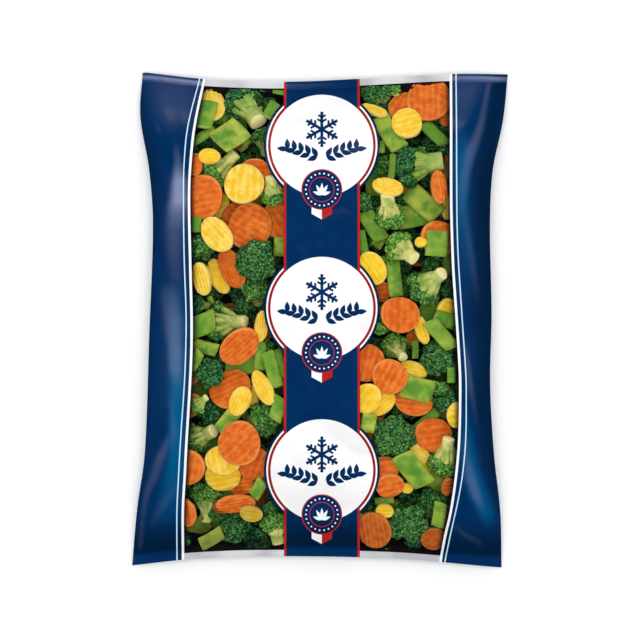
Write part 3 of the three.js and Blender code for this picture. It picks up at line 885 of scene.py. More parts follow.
# How the pieces lie: depths under the film in millimetres, and how far a piece may sink into the bag's room
laying = {
    "seed": 11, "clearance": 0.7, "layerStep": 0.8, "deepest": 0.7, "mostSag": 2.5,
    "fullRoom": 34, "leastFlat": 0.4,  # less room than that flattens a piece, down to this share
    "squareSpan": 0.9, "roundSpan": 0.82, "roundMet": 0.85, "spots": 9,  # where pieces count as overlapping
    # Loose pieces behind, seen through the gaps: how far apart, their painted shade, and the share of
    # broccoli
    "fillers": [(21, (0.1, 0.4), 0.75), (23, (0.4, 0.75), 0.4)],
    "fillerJitter": 0.3, "fillerColumns": 6, "fillerLevels": 10,
    "fillerNear": 24, "fillerFar": 112, "fillerTop": 168,
    "fillerFloret": ((10, 14), (0, 70), (0, 0.4)), "fillerBean": ((22, 34), (12, 20), (0, 0.8)),
    "fillerSlice": {"carrots": (12, 17), "yellowCarrots": (11, 15)}, "fillerNarrow": (0.7, 1),
    "fillerKinds": (0.25, 0.4),  # of all but the broccoli, the share of carrots, and of both kinds of carrots
    "fillerRidges": 40, "fillerSlant": 0.3, "fillerLayers": (1, 2),
    # The film presses on what lies under it: how near it comes, and how much is left over the back film
    "nearest": 0.45, "overBack": 1.5, "overBackShare": 0.4, "endGap": 0.0006,
    "softDepth": {"slices": 1.2, "broccoli": 9, "behind": 4},
}

# Crinkle-cut slices: square-edged, rounded off towards the rim, a little out of round and warped
slices = {
    "thickness": 5.2, "ridgePitch": 5.0, "ridgeDepth": 0.3, "columns": 56, "coarseColumns": 20, "around": 16,
    "sizes": (10, 14, 18), "mostTilt": math.radians(9), "mostTurned": 3, "roundFrom": 0.93, "mostTint": 0.75,
    "rimReach": 0.9995, "rimPower": 14, "leastRim": 0.05, "sidePower": 0.55, "facePower": 0.3,
    "oval": 0.03, "lobes": 0.015, "sway": 0.5, "swayLength": 5, "warp": 0.25, "warpLength": 6,
    "seatShare": 0.8,
}


def sliceMesh(radius, seed, columns):
    chance = random.Random(seed)
    phases = [chance.uniform(0, 2 * math.pi) for _ in range(4)]
    angles = np.linspace(0, 2 * math.pi, slices["around"], endpoint=False) + math.pi / slices["around"]
    sideways, upwards = (np.sign(wave) * np.abs(wave) ** slices[power] for wave, power in (
        (np.cos(angles), "sidePower"), (np.sin(angles), "facePower")))
    rings = []
    for i in range(columns + 1):
        x = -math.cos(math.pi * i / columns) * slices["rimReach"]
        half = math.sqrt(1 - x * x)
        flat = max(slices["leastRim"], 1 - abs(x) ** slices["rimPower"]) ** 0.5
        z = slices["thickness"] / 2 * flat * upwards
        rings.append(np.stack([np.full(len(angles), x) * radius, half * sideways * radius, z], -1))
    points, faces = loftRings(np.array(rings))
    turn = np.arctan2(points[:, 1], points[:, 0])
    oval = slices["oval"] * np.cos(2 * turn + phases[0])
    lobes = slices["lobes"] * np.cos(3 * turn + phases[1])
    points[:, :2] *= (1 + oval + lobes)[:, None]
    x, y = points[:, 0], points[:, 1]
    # how far out towards the rim, which brings in a painted highlight along the edge
    rim = np.minimum(np.hypot(x, y) / radius, 1.05)
    sway = slices["sway"] * np.sin(y / slices["swayLength"])
    ridges = np.sin(2 * math.pi * x / slices["ridgePitch"] + phases[2] + sway)
    points[:, 2] += slices["ridgeDepth"] * ridges
    points[:, 2] += slices["warp"] * np.cos(y / slices["warpLength"] + phases[3])
    # the last values darken the crinkle valleys: painted shade
    return points, faces, rim, 0.5 - 0.5 * ridges


# Flat green beans, cut slantwise, with rounded edges at the cuts and low swellings over the seeds
beanPieces = {
    "length": 30, "width": 18, "thickness": 5.6, "stations": 13, "around": 20,
    "slants": (0.0, 0.2, 0.3, 0.04, 0.25, 0.35), "seedPitch": 11, "seedSwell": 0.16, "cutPinch": 0.82,
    "cutEdge": 0.97, "sideFlat": 0.75, "mostBend": 0.0025, "bendWidth": 12, "cutMark": 1.3, "roll": 5,
    "seatShare": 0.35,
}


def beanMesh(length, width, slant, seed):
    chance = random.Random(seed)
    phase, bend = chance.uniform(0, 6), chance.uniform(-beanPieces["mostBend"], beanPieces["mostBend"])
    angles = np.linspace(0, 2 * math.pi, beanPieces["around"], endpoint=False)
    rounded = beanPieces["sideFlat"] + (1 - beanPieces["sideFlat"]) * np.sin(angles) ** 2
    rings, rim = [], []
    for i, s in enumerate([-1.0, *np.linspace(-1, 1, beanPieces["stations"]), 1.0]):
        isEnd = i == 0 or i == beanPieces["stations"] + 1
        pinch = beanPieces["cutPinch"] if isEnd else 1.0
        along = s * length / 2 * (1 if isEnd else beanPieces["cutEdge"])
        seedTurn = 2 * math.pi * along / beanPieces["seedPitch"] + phase
        swollen = 1 + beanPieces["seedSwell"] * math.cos(seedTurn)
        y = width / 2 * pinch * np.cos(angles)
        z = beanPieces["thickness"] / 2 * pinch * swollen * np.sin(angles) * rounded
        bent = bend * along ** 2 * (width / beanPieces["bendWidth"])
        rings.append(np.stack([along + slant * y, y + bent, z], -1))
        rim.extend([1.0 if isEnd else 0.0] * len(angles))
    points, faces = loftRings(np.array(rings))
    rim.extend([beanPieces["cutMark"]] * 2)
    # the last values darken the bean down the middle of its width
    return points, faces, rim, 0.5 + 0.45 * np.cos(2 * math.pi * points[:, 1] / width)


# Florets: a stub that branches to clusters on a dome, whose middle is the origin
floret = {
    "radius": 14, "clusters": 13, "clusterRadius": 4.9, "spread": 88, "flatten": 0.8, "jitter": 0.9,
    "goldenTurn": 2.39996, "sizes": (0.8, 1.15), "shapes": 4, "depth": 0.6,
    # For laying, in shares of the radius: how far the crown rises above its middle, from how far below others
    # may pass under it, how wide it covers them, and half the stub, which counts from this lean on
    "crownRise": 0.8, "crownUnder": 0.3, "crownSpan": 0.95, "halfLong": 0.35, "halfWide": 0.4, "stubLean": 60,
    "seatShare": 0.6, "stemPaler": 0.05, "firstCluster": 0.35, "crownDetail": 3, "coarseDetail": 2,
    "seedStep": 3.7,
    "stub": 5.2, "stubFrom": -18, "stubTo": -8.5, "stubSizes": (0.8, 1.12), "stubLengths": (0.85, 1.1),
    "stubFlare": 1.05, "stubRows": 5, "stubAround": 14, "cutPinch": 0.85, "cutBevel": 0.5, "uneven": 0.07,
    "branch": 1.85, "branchEnd": 2.5, "branchRows": 6, "branchAround": 9, "branchBow": 0.12,
    "branchInset": 0.45, "branchStarts": (1, 5),
    # How pale the stem is: on the cut, low on the stub and how much less higher up, and where a branch starts
    "cutMark": 1.3, "stubMark": 0.46, "stubFade": 0.2, "branchMark": 0.5,
}


def clusterPlaces(seed):
    chance = random.Random(100 + seed)
    reach = floret["radius"] - floret["clusterRadius"]
    low = math.cos(math.radians(floret["spread"]))
    places = []
    for i in range(floret["clusters"]):
        up = 1 - (i + floret["firstCluster"]) / floret["clusters"] * (1 - low)
        turn, aside = floret["goldenTurn"] * i + seed, math.sqrt(1 - up * up)
        middle = (reach * v for v in (aside * math.cos(turn), aside * math.sin(turn), up * floret["flatten"]))
        strayed = [v + chance.uniform(-1, 1) * floret["jitter"] for v in middle]
        places.append((*strayed, chance.uniform(*floret["sizes"])))
    return places


# A bowed tube that starts at a cut end: its points, its faces and how pale each point is
def tube(start, end, radii, rows, around, bow, isStub, seed):
    start, end = np.array(start, float), np.array(end, float)
    axis = (end - start) / np.linalg.norm(end - start)
    aside = np.cross(axis, (0.3, 1, 0.2))
    aside /= np.linalg.norm(aside)
    other = np.cross(axis, aside)
    angles = np.linspace(0, 2 * math.pi, around, endpoint=False)
    uneven, outwards = 1 + floret["uneven"] * np.cos(3 * angles + seed), np.array([end[0], end[1], 0])
    rings, marks = [], []
    for t in [0.0, *np.linspace(0, 1, rows)]:
        isCut = not rings
        middle = start + (end - start) * t + bow * outwards * math.sin(math.pi * t)
        if t == 0 and not isCut:
            middle = middle + axis * floret["cutBevel"]
        radius = blendBetween(*radii, t) * uneven * (floret["cutPinch"] if isCut else 1)
        sideways, upwards = np.cos(angles) * radius, np.sin(angles) * radius
        rings.append(middle + sideways[:, None] * aside + upwards[:, None] * other)
        mark = floret["stubMark"] - floret["stubFade"] * t if isStub else floret["branchMark"] * (1 - t)
        marks += [floret["cutMark"] if isStub and isCut else mark] * around
    return *loftRings(np.array(rings)), marks + [floret["cutMark" if isStub else "branchMark"], 0.0]


def stemMesh(seed):
    chance = random.Random(seed)
    stub = floret["stub"] * chance.uniform(*floret["stubSizes"])
    foot, head = (0, 0, floret["stubFrom"] * chance.uniform(*floret["stubLengths"])), (0, 0, floret["stubTo"])
    radii = (stub, stub * floret["stubFlare"])
    parts = [tube(foot, head, radii, floret["stubRows"], floret["stubAround"], 0, True, seed)]
    for x, y, z, size in clusterPlaces(seed):
        turn, inset = math.atan2(y, x), stub * floret["branchInset"]
        below = chance.uniform(*floret["branchStarts"])
        start = (inset * math.cos(turn), inset * math.sin(turn), floret["stubTo"] - below)
        radii = (floret["branch"] * size, floret["branchEnd"] * size)
        parts.append(tube(start, (x, y, z), radii, floret["branchRows"], floret["branchAround"],
                          floret["branchBow"], False, seed))
    points, faces, marks, first = [], [], [], 0
    for partPoints, partFaces, partMarks in parts:
        points.append(partPoints)
        faces.extend(tuple(v + first for v in face) for face in partFaces)
        marks += partMarks
        first += len(partPoints)
    return np.vstack(points), faces, marks, [0.5] * first


# Geometry Nodes helpers
def newTree(name, inputs):
    tree = bpy.data.node_groups.new(name, "GeometryNodeTree")
    for key, (kind, value) in inputs.items():
        socket = tree.interface.new_socket(key, in_out="INPUT", socket_type="NodeSocket" + kind)
        if value is not None:
            socket.default_value = value
    tree.interface.new_socket("Geometry", in_out="OUTPUT", socket_type="NodeSocketGeometry")
    return tree, tree.nodes.new("NodeGroupInput").outputs, tree.nodes.new("NodeGroupOutput").inputs


def pointValue(tree, name, kind):
    node = addNode(tree, "GeometryNodeInputNamedAttribute", {"Name": name}, data_type=kind)
    return node.outputs["Attribute"]


# The mesh that a tree makes from a mesh of points
def grow(tree, values, mesh):
    carrier = bpy.data.objects.new("carrier", mesh)
    scene.collection.objects.link(carrier)
    modifier = carrier.modifiers.new("grow", "NODES")
    modifier.node_group = tree
    for item in tree.interface.items_tree:
        if item.item_type == "SOCKET" and item.in_out == "INPUT" and item.name in values:
            modifier[item.identifier] = values[item.name]
    graph = bpy.context.evaluated_depsgraph_get()
    grown = bpy.data.meshes.new_from_object(
        carrier.evaluated_get(graph), preserve_all_data_layers=True, depsgraph=graph)
    carrier.modifiers.remove(modifier)
    bpy.data.objects.remove(carrier)
    return grown


# A broccoli crown: a round cluster on each point, covered with lumps and buds
crownTree, given, wanted = newTree("broccoliCrown", {
    "Clusters": ("Geometry", None), "Cluster Radius": ("Float", 5.6), "Detail": ("Int", 3),
    "Bud Size": ("Float", 2.2), "Bud Depth": ("Float", 0.9), "Lump Size": ("Float", 4.2),
    "Lump Depth": ("Float", 1.6), "Seed": ("Float", 0.0), "Material": ("Material", None)})
ball = addNode(crownTree, "GeometryNodeMeshIcoSphere", {
    "Radius": given["Cluster Radius"], "Subdivisions": given["Detail"]}).outputs["Mesh"]
clusterSize = pointValue(crownTree, "size", "FLOAT")
clustered = addNode(crownTree, "GeometryNodeInstanceOnPoints", {
    "Points": given["Clusters"], "Instance": ball, "Scale": clusterSize}).outputs[0]
clustered = addNode(crownTree, "GeometryNodeRealizeInstances", {"Geometry": clustered}).outputs[0]
place = addNode(crownTree, "GeometryNodeInputPosition").outputs[0]


# Round bumps of a given size side by side: 1 on their tops, 0 between them
def roundCells(size, steepness):
    scale = calc(crownTree, "DIVIDE", 1.0, size)
    cells = addNode(crownTree, "ShaderNodeTexVoronoi", {
        "Vector": place, "W": given["Seed"], "Scale": scale, "Randomness": 0.95}, voronoi_dimensions="4D")
    squared = calc(crownTree, "POWER", cells.outputs["Distance"], 2.0)
    return calc(crownTree, "SUBTRACT", 1.0, calc(crownTree, "MULTIPLY", squared, steepness), clamp=True)


lumpMask, budMask = roundCells(given["Lump Size"], 1.7), roundCells(given["Bud Size"], 1.9)
lumpRise = calc(crownTree, "MULTIPLY", given["Lump Depth"], calc(crownTree, "SUBTRACT", lumpMask, 0.8))
budRise = calc(crownTree, "MULTIPLY", given["Bud Depth"], calc(crownTree, "SUBTRACT", budMask, 0.5))
outward = calc(crownTree, "ADD", lumpRise, budRise)
lumpPart, budPart = calc(crownTree, "MULTIPLY", lumpMask, 0.35), calc(crownTree, "MULTIPLY", budMask, 0.65)
height = calc(crownTree, "ADD", lumpPart, budPart)
facing = addNode(crownTree, "GeometryNodeInputNormal").outputs[0]
offset = addNode(crownTree, "ShaderNodeVectorMath", {
    0: facing, "Scale": outward}, operation="SCALE").outputs[0]
# the lump and bud height, kept as rim, also brings in painted shade between the lumps
marked = addNode(crownTree, "GeometryNodeStoreNamedAttribute", {
    "Geometry": clustered, "Name": "rim", "Value": height}, data_type="FLOAT", domain="POINT").outputs[0]
shaped = addNode(crownTree, "GeometryNodeSetPosition", {"Geometry": marked, "Offset": offset}).outputs[0]
smoothed = addNode(crownTree, "GeometryNodeSetShadeSmooth", {"Geometry": shaped}).outputs[0]
finished = addNode(crownTree, "GeometryNodeSetMaterial", {
    "Geometry": smoothed, "Material": given["Material"]}).outputs[0]
crownTree.links.new(finished, wanted["Geometry"])


def crownMesh(seed, detail):
    points = bpy.data.meshes.new("clusters")
    places = clusterPlaces(seed)
    points.from_pydata([p[:3] for p in places], [], [])
    markPoints(points, "size", [p[3] for p in places])
    values = {"Seed": floret["seedStep"] * seed, "Detail": detail, "Material": finishes["crowns"]}
    grown = grow(crownTree, values, points)
    for vertex in grown.vertices:
        vertex.co *= mm
    return grown


# The heap: one of a kind's shapes on each point, turned and sized as the point says
heapTree, given, wanted = newTree("heap", {"Points": ("Geometry", None), "Shapes": ("Collection", None),
                                           "Material": ("Material", None)})
shapes = addNode(heapTree, "GeometryNodeCollectionInfo", {
    "Collection": given["Shapes"], "Separate Children": True, "Reset Children": True}).outputs[0]
turned = addNode(heapTree, "FunctionNodeEulerToRotation", {
    0: pointValue(heapTree, "turn", "FLOAT_VECTOR")}).outputs[0]
scattered = addNode(heapTree, "GeometryNodeInstanceOnPoints", {
    "Points": given["Points"], "Instance": shapes, "Pick Instance": True,
    "Instance Index": pointValue(heapTree, "shape", "INT"), "Rotation": turned,
    "Scale": pointValue(heapTree, "size", "FLOAT_VECTOR")}).outputs[0]
realized = addNode(heapTree, "GeometryNodeRealizeInstances", {"Geometry": scattered}).outputs[0]
coated = addNode(heapTree, "GeometryNodeSetMaterial", {
    "Geometry": realized, "Material": given["Material"]}).outputs[0]
heapTree.links.new(coated, wanted["Geometry"])


# Vegetable finishes: the flesh in two tones, the colour towards the rim (on the slices a painted highlight)
# and towards the cut (the paler flesh of beans and stems), the paler flesh that a piece's tint brings in,
# where the rim's colour starts and is full, its share, and the fine surface
vegetableLooks = {
    "carrots": {
        "name": "carrot", "base": srgb(238, 122, 40), "deep": srgb(216, 94, 28), "rim": srgb(250, 164, 88),
        "pale": srgb(244, 138, 54), "rimSpan": (0.88, 1.0), "rimShare": 0.7, "roughness": 0.42, "bump": 0.25,
        "patches": 190},
    "yellowCarrots": {
        "name": "yellow_carrot", "base": srgb(254, 216, 64), "deep": srgb(246, 194, 36),
        "rim": srgb(255, 234, 140), "pale": srgb(255, 228, 122), "rimSpan": (0.86, 1.0), "rimShare": 0.6,
        "roughness": 0.42, "bump": 0.2, "patches": 170},
    "beans": {
        "name": "bean", "base": srgb(112, 162, 52), "deep": srgb(94, 148, 50), "rim": srgb(204, 212, 112),
        "pale": srgb(192, 202, 84), "rimSpan": (0.6, 1.2), "rimShare": 0.85, "roughness": 0.38, "bump": 0.2,
        "patches": 100},
    "stems": {
        "name": "broccoli_stem", "base": srgb(142, 178, 70), "deep": srgb(110, 156, 60),
        "rim": srgb(238, 228, 158), "pale": srgb(228, 218, 128), "rimSpan": (0.15, 0.95), "rimShare": 1.0,
        "roughness": 0.45, "bump": 0.3, "patches": 120},
}
vegetableShade, vegetableGloss = srgb(8, 8, 12), 0.12  # the painted shade that deep pieces darken to, and their gloss
# Crowns, dark and yellowish: the buds' gaps in painted shade, the buds, and their tips, partly painted
# highlight
crownLook = {
    "dark": (srgb(10, 44, 34), srgb(52, 118, 66), srgb(124, 182, 106)),
    "pale": (srgb(46, 100, 44), srgb(120, 172, 62), srgb(216, 226, 124)),
    "budSpan": (0.1, 0.5), "tipSpan": (0.45, 0.8), "shade": srgb(8, 10, 10), "roughness": 0.6, "gloss": 0.1,
    "bump": 0.8,
}


def vegetable(look):
    material, tree, surface = newMaterial(look["name"])
    patches = placeGroup(tree, mottle, Scale=look["patches"], Detail=5, Low=0.3, High=0.7)
    # painted shade in the slices' crinkle valleys, and the beans' darker middles, over the patches
    streaks = calc(tree, "MULTIPLY", calc(tree, "SUBTRACT", attribute(tree, "stripeAndValleyShade"), 0.5), 0.5)
    patches = calc(tree, "ADD", patches, streaks, clamp=True)
    # the rim's colour: a painted highlight along the slices' edges, the paler flesh at the beans' and stems'
    # cuts
    rim = calc(tree, "MULTIPLY", mapTo(tree, attribute(tree, "rim"), *look["rimSpan"]), look["rimShare"])
    colour = mixColour(tree, attribute(tree, "tint"), look["base"], look["pale"])
    colour = mixColour(tree, patches, colour, look["deep"])
    colour = mixColour(tree, rim, colour, look["rim"])
    # painted shade for pieces deep in the heap
    colour = mixColour(tree, attribute(tree, "shade"), colour, vegetableShade)
    tree.links.new(colour, surface.inputs["Base Color"])
    surface.inputs["Roughness"].default_value = look["roughness"]
    surface.inputs["Specular IOR Level"].default_value = vegetableGloss
    fine = placeGroup(tree, mottle, Scale=900, Detail=2)
    tree.links.new(bumpFrom(tree, fine, look["bump"], fineRelief), surface.inputs["Normal"])
    return material


# Buds: tips partly painted highlight, gaps painted shade; the tips thicker on the lumps, so darker between
# them
budCells, given, wanted = newGroup("budCells", {"Scale": 600, "Lumps": 0.5}, ["Height"])
spot = addNode(budCells, "ShaderNodeTexCoord").outputs["Object"]
buds = addNode(budCells, "ShaderNodeTexVoronoi", {
    "Vector": spot, "Scale": given["Scale"], "Randomness": 1.0}).outputs["Distance"]
ragged = addNode(budCells, "ShaderNodeTexNoise", {"Vector": spot, "Scale": 420.0, "Detail": 2.0}).outputs[0]
tips = calc(budCells, "SUBTRACT", 1.0, calc(budCells, "MULTIPLY", buds, 1.1), clamp=True)
onLumps = calc(budCells, "MULTIPLY", given["Lumps"], 0.7)
strength = calc(budCells, "ADD", onLumps, calc(budCells, "MULTIPLY", ragged, 0.9))
budCells.links.new(calc(budCells, "MULTIPLY", tips, strength), wanted["Height"])


def crownFinish():
    material, tree, surface = newMaterial("broccoli_crown")
    cells = tree.nodes.new("ShaderNodeGroup")
    cells.node_tree = budCells
    tree.links.new(attribute(tree, "rim"), cells.inputs["Lumps"])
    height = cells.outputs["Height"]
    shades = []
    # from the gaps' painted shade through the buds to the tips, partly painted highlight
    for gap, bud, tip in (crownLook["dark"], crownLook["pale"]):
        colour = mixColour(tree, mapTo(tree, height, *crownLook["budSpan"]), gap, bud)
        shades.append(mixColour(tree, mapTo(tree, height, *crownLook["tipSpan"]), colour, tip))
    colour = mixColour(tree, attribute(tree, "tint"), *shades)
    # painted shade for pieces deep in the heap
    colour = mixColour(tree, attribute(tree, "shade"), colour, crownLook["shade"])
    tree.links.new(colour, surface.inputs["Base Color"])
    surface.inputs["Roughness"].default_value = crownLook["roughness"]
    surface.inputs["Specular IOR Level"].default_value = crownLook["gloss"]
    tree.links.new(bumpFrom(tree, height, crownLook["bump"], deepRelief), surface.inputs["Normal"])
    return material


finishes = {kind: vegetable(look) for kind, look in vegetableLooks.items()}
finishes["crowns"] = crownFinish()
print("vegetable finishes made")


# Where a piece of a given reach lies against the film: the film's height there and its slope
def seat(x, y, reach):
    angles = np.linspace(0, 2 * math.pi, 10, endpoint=False)
    spotsX = np.concatenate([[x], x + reach * np.cos(angles), x + 0.5 * reach * np.cos(angles)])
    spotsY = np.concatenate([[y], y + reach * np.sin(angles), y + 0.5 * reach * np.sin(angles)])
    heights = frontHeight(spotsX, spotsY)
    terms = np.stack([spotsX - x, spotsY - y, np.ones(len(spotsX))], -1)
    slopeX, slopeY, height = np.linalg.lstsq(terms, heights, rcond=None)[0]
    slack = (heights - terms @ (slopeX, slopeY, height)).min()
    return height + max(slack, -laying["mostSag"]), Vector((-slopeX, -slopeY, 1)).normalized()


# Axes for a piece on a slope, with its length turned so many degrees from the bag's own
def basisOn(normal, degrees):
    turn = math.radians(degrees)
    ahead = Vector((math.cos(turn), math.sin(turn), 0))
    ahead = (ahead - normal * ahead.dot(normal)).normalized()
    return Matrix((ahead, normal.cross(ahead), normal)).transposed()


chance = random.Random(laying["seed"])
heap = {kind: [] for kind in ("carrots", "yellowCarrots", "beans", "crowns", "behind", "stems")}


def lay(kind, x, y, z, basis, shape, size, tint=0.0, shade=0.0):
    heap[kind].append((x, y, z, basis.to_euler()[:], shape, size, tint, shade))


# What is laid already, to find how deep the next piece must go to pass under it
placed = []


# How deep a piece goes so that it passes under what covers it. Its own top may rise towards its middle.
def settle(x, y, way, halfLong, halfWide, isRound, rise=0.0):
    turn, span = math.radians(way), laying["squareSpan"]
    row = np.linspace(-span, span, laying["spots"])
    u, v = (grid.ravel() for grid in np.meshgrid(row, row))
    if isRound:
        within = u * u + v * v < laying["roundSpan"]
        u, v = u[within], v[within]
    spotX = x + u * halfLong * math.cos(turn) - v * halfWide * math.sin(turn)
    spotY = y + u * halfLong * math.sin(turn) + v * halfWide * math.cos(turn)
    rises = rise * np.sqrt(np.maximum(1 - u * u - v * v, 0)) if isRound else np.full(len(u), rise)
    depth = 0.0
    for otherX, otherY, otherTurn, otherLong, otherWide, otherRound, under in placed:
        dx, dy = spotX - otherX, spotY - otherY
        du = (dx * math.cos(otherTurn) + dy * math.sin(otherTurn)) / otherLong
        dv = (dy * math.cos(otherTurn) - dx * math.sin(otherTurn)) / otherWide
        met = du * du + dv * dv < laying["roundMet"] if otherRound else (abs(du) < span) & (abs(dv) < span)
        if met.any():
            depth = max(depth, under + rises[met].max())
    return depth


def keep(x, y, way, halfLong, halfWide, isRound, under):
    placed.append((x, y, math.radians(way), halfLong, halfWide, isRound, under))


def roomAt(x, y):
    return float(frontHeight(x, y) - backHeight(x, y))


def flattened(x, y):
    return min(1.0, max(laying["leastFlat"], roomAt(x, y) / laying["fullRoom"]))


def depthAt(x, y, least, layer, covered):
    return min(max(least + layer * laying["layerStep"], covered), roomAt(x, y) * laying["deepest"])


# The index of the shape that is made for the nearest value
def nearestOf(values, wantedValue):
    return min(range(len(values)), key=lambda i: abs(values[i] - wantedValue))


def laySlice(kind, x, y, radius, narrow, longWay, layer, ridgeWay, shade=0.0, coarse=False):
    top, normal = seat(x, y, radius * slices["seatShare"])
    tilt = min(math.acos(min(narrow, 1)), slices["mostTilt"])
    squash = narrow / math.cos(tilt)
    isAcross = 45 < (ridgeWay - longWay) % 180 < 135
    if narrow < slices["roundFrom"]:
        ridgeWay = longWay + 90 if isAcross else longWay
    axis = Vector((math.cos(math.radians(longWay)), math.sin(math.radians(longWay)), 0))
    tilt = (tilt + math.radians(chance.uniform(0, slices["mostTurned"]))) * chance.choice((-1, 1))
    tilted = Matrix.Rotation(tilt, 3, axis) @ basisOn(normal, ridgeWay - 90)
    covered = settle(x, y, longWay, radius, radius * narrow, True)
    depth, flat = depthAt(x, y, laying["clearance"], layer, covered), flattened(x, y)
    thickness, sizes = slices["thickness"] * flat, slices["sizes"]
    keep(x, y, longWay, radius, radius * narrow, True, depth + thickness)
    nearest = nearestOf(sizes, radius)
    shape = 2 * len(sizes) if coarse else 2 * nearest + chance.randrange(2)
    scale = radius / sizes[1 if coarse else nearest]
    stretch = (scale, scale * squash, flat) if isAcross else (scale * squash, scale, flat)
    tint = chance.uniform(0, slices["mostTint"])
    lay(kind, x, y, top - depth - thickness / 2, tilted, shape, stretch, tint, shade)


def layBean(x, y, length, width, way, slant, layer, paleness, shade=0.0):
    top, normal = seat(x, y, beanPieces["seatShare"] * (length + width) / 2)
    roll = math.radians(chance.uniform(-beanPieces["roll"], beanPieces["roll"]))
    rolled = Matrix.Rotation(roll, 3, "X") @ basisOn(normal, way)
    covered = settle(x, y, way, length / 2, width / 2, False)
    depth, flat = depthAt(x, y, laying["clearance"], layer, covered), flattened(x, y)
    thickness = beanPieces["thickness"] * flat
    keep(x, y, way, length / 2, width / 2, False, depth + thickness)
    stretch = (length / beanPieces["length"], width / beanPieces["width"], flat)
    shape = nearestOf(beanPieces["slants"], slant)
    lay("beans", x, y, top - depth - thickness / 2, rolled, shape, stretch, paleness, shade)


def layFloret(x, y, radius, lean, stemWay, layer, paleness, shade=0.0, coarse=False):
    top, normal = seat(x, y, radius * floret["seatShare"])
    tilt, way = math.radians(lean), math.radians(stemWay)
    stem = Vector((math.cos(way), math.sin(way), 0))
    stem = (stem - normal * stem.dot(normal)).normalized()
    axis = (normal * math.cos(tilt) - stem * math.sin(tilt)).normalized()
    across = normal.cross(stem).normalized()
    basis = Matrix((across.cross(axis), across, axis)).transposed()
    basis = basis @ Matrix.Rotation(chance.uniform(0, 6.28), 3, "Z")
    covered = settle(x, y, 0, radius, radius, True, floret["crownRise"] * radius)
    hasStub = not coarse and lean > floret["stubLean"]
    if hasStub:
        away, long, wide = radius * math.sin(tilt), radius * floret["halfLong"], radius * floret["halfWide"]
        stub = (x + away * math.cos(way), y + away * math.sin(way), stemWay, long, wide, False)
        covered = max(covered, settle(*stub, wide - radius * math.cos(tilt)))
    depth = depthAt(x, y, radius * floret["depth"], layer, covered)
    under, span = depth + floret["crownUnder"] * radius, floret["crownSpan"] * radius
    keep(x, y, 0, span, span, True, under)
    if hasStub:
        keep(*stub, under + radius * math.cos(tilt))
    shape, stretch = chance.randrange(floret["shapes"]), (radius / floret["radius"],) * 3
    if coarse:
        lay("behind", x, y, top - depth, basis, floret["shapes"], stretch, paleness, shade)
    else:
        lay("crowns", x, y, top - depth, basis, shape, stretch, paleness, shade)
        lay("stems", x, y, top - depth, basis, shape, stretch, min(1, floret["stemPaler"] + paleness), shade)


laid = [(row[5], laySlice, (kind, *row)) for kind in ("carrots", "yellowCarrots") for row in contents[kind]]
laid += [(row[6], layBean, row) for row in contents["beans"]]
laid += [(row[5], layFloret, row) for row in contents["broccoli"]]
for layer, layOne, row in sorted(laid, key=lambda entry: entry[0]):
    layOne(*row)


# Loose pieces behind, a little jumbled
def layFillers(pitch, shades, broccoliShare):
    columns, levels, stray = (laying[key] for key in ("fillerColumns", "fillerLevels", "fillerJitter"))
    first, second = laying["fillerLayers"]
    for column in range(-columns, columns + 1):
        for level in range(-levels, levels + 1):
            x = (column + chance.uniform(-stray, stray)) * pitch
            y = (level + chance.uniform(-stray, stray)) * pitch
            inWindow = laying["fillerNear"] < abs(x - bandMiddle) < laying["fillerFar"]
            if not inWindow or abs(y) > laying["fillerTop"]:
                continue
            way, shade, kind = chance.uniform(0, 360), chance.uniform(*shades), chance.random()
            rest = (kind - broccoliShare) / (1 - broccoliShare)
            if kind < broccoliShare:
                radius, lean, paleness = (chance.uniform(*span) for span in laying["fillerFloret"])
                layFloret(x, y, radius, lean, way, first, paleness, shade, True)
            elif rest < laying["fillerKinds"][1]:
                name = "carrots" if rest < laying["fillerKinds"][0] else "yellowCarrots"
                radius = chance.uniform(*laying["fillerSlice"][name])
                narrow, ridgeWay = chance.uniform(*laying["fillerNarrow"]), way + laying["fillerRidges"]
                laySlice(name, x, y, radius, narrow, way, second, ridgeWay, shade, True)
            else:
                length, width, paleness = (chance.uniform(*span) for span in laying["fillerBean"])
                layBean(x, y, length, width, way, laying["fillerSlant"], second, paleness, shade)


for fillers in laying["fillers"]:
    layFillers(*fillers)


# The film presses what lies under it, the softer the deeper: nothing stands through the film
def pressUnderFilm(mesh, softDepth):
    places = np.empty(len(mesh.vertices) * 3)
    mesh.vertices.foreach_get("co", places)
    places = places.reshape(-1, 3) / mm
    across, share = placeOf(places[:, 0], places[:, 1])
    inEnds = np.clip(share, clearShares[0] + laying["endGap"], clearShares[1] - laying["endGap"])
    outside = inEnds != share
    places[outside, :2] = np.stack(planOf(across[outside], inEnds[outside]), -1)
    x, y = places[:, 0], places[:, 1]
    top, bottom, nearest = frontHeight(x, y), backHeight(x, y), laying["nearest"]
    depth, room = top - places[:, 2], softDepth - nearest
    pressed = nearest + room * np.exp(np.minimum(depth - softDepth, 0) / room)
    depth = np.where(depth < softDepth, pressed, depth)
    least = bottom + np.minimum(laying["overBack"], laying["overBackShare"] * (top - bottom))
    places[:, 2] = np.maximum(top - depth, least)
    mesh.vertices.foreach_set("co", ((places + centreShift) * mm).ravel())
    mesh.update()


def plainMesh(name, points, faces, rim, stripeAndValleyShade):
    mesh = bpy.data.meshes.new(name)
    mesh.from_pydata((points * mm).tolist(), [], faces)
    markPoints(mesh, "rim", rim)
    markPoints(mesh, "stripeAndValleyShade", stripeAndValleyShade)
    mesh.shade_smooth()
    return mesh


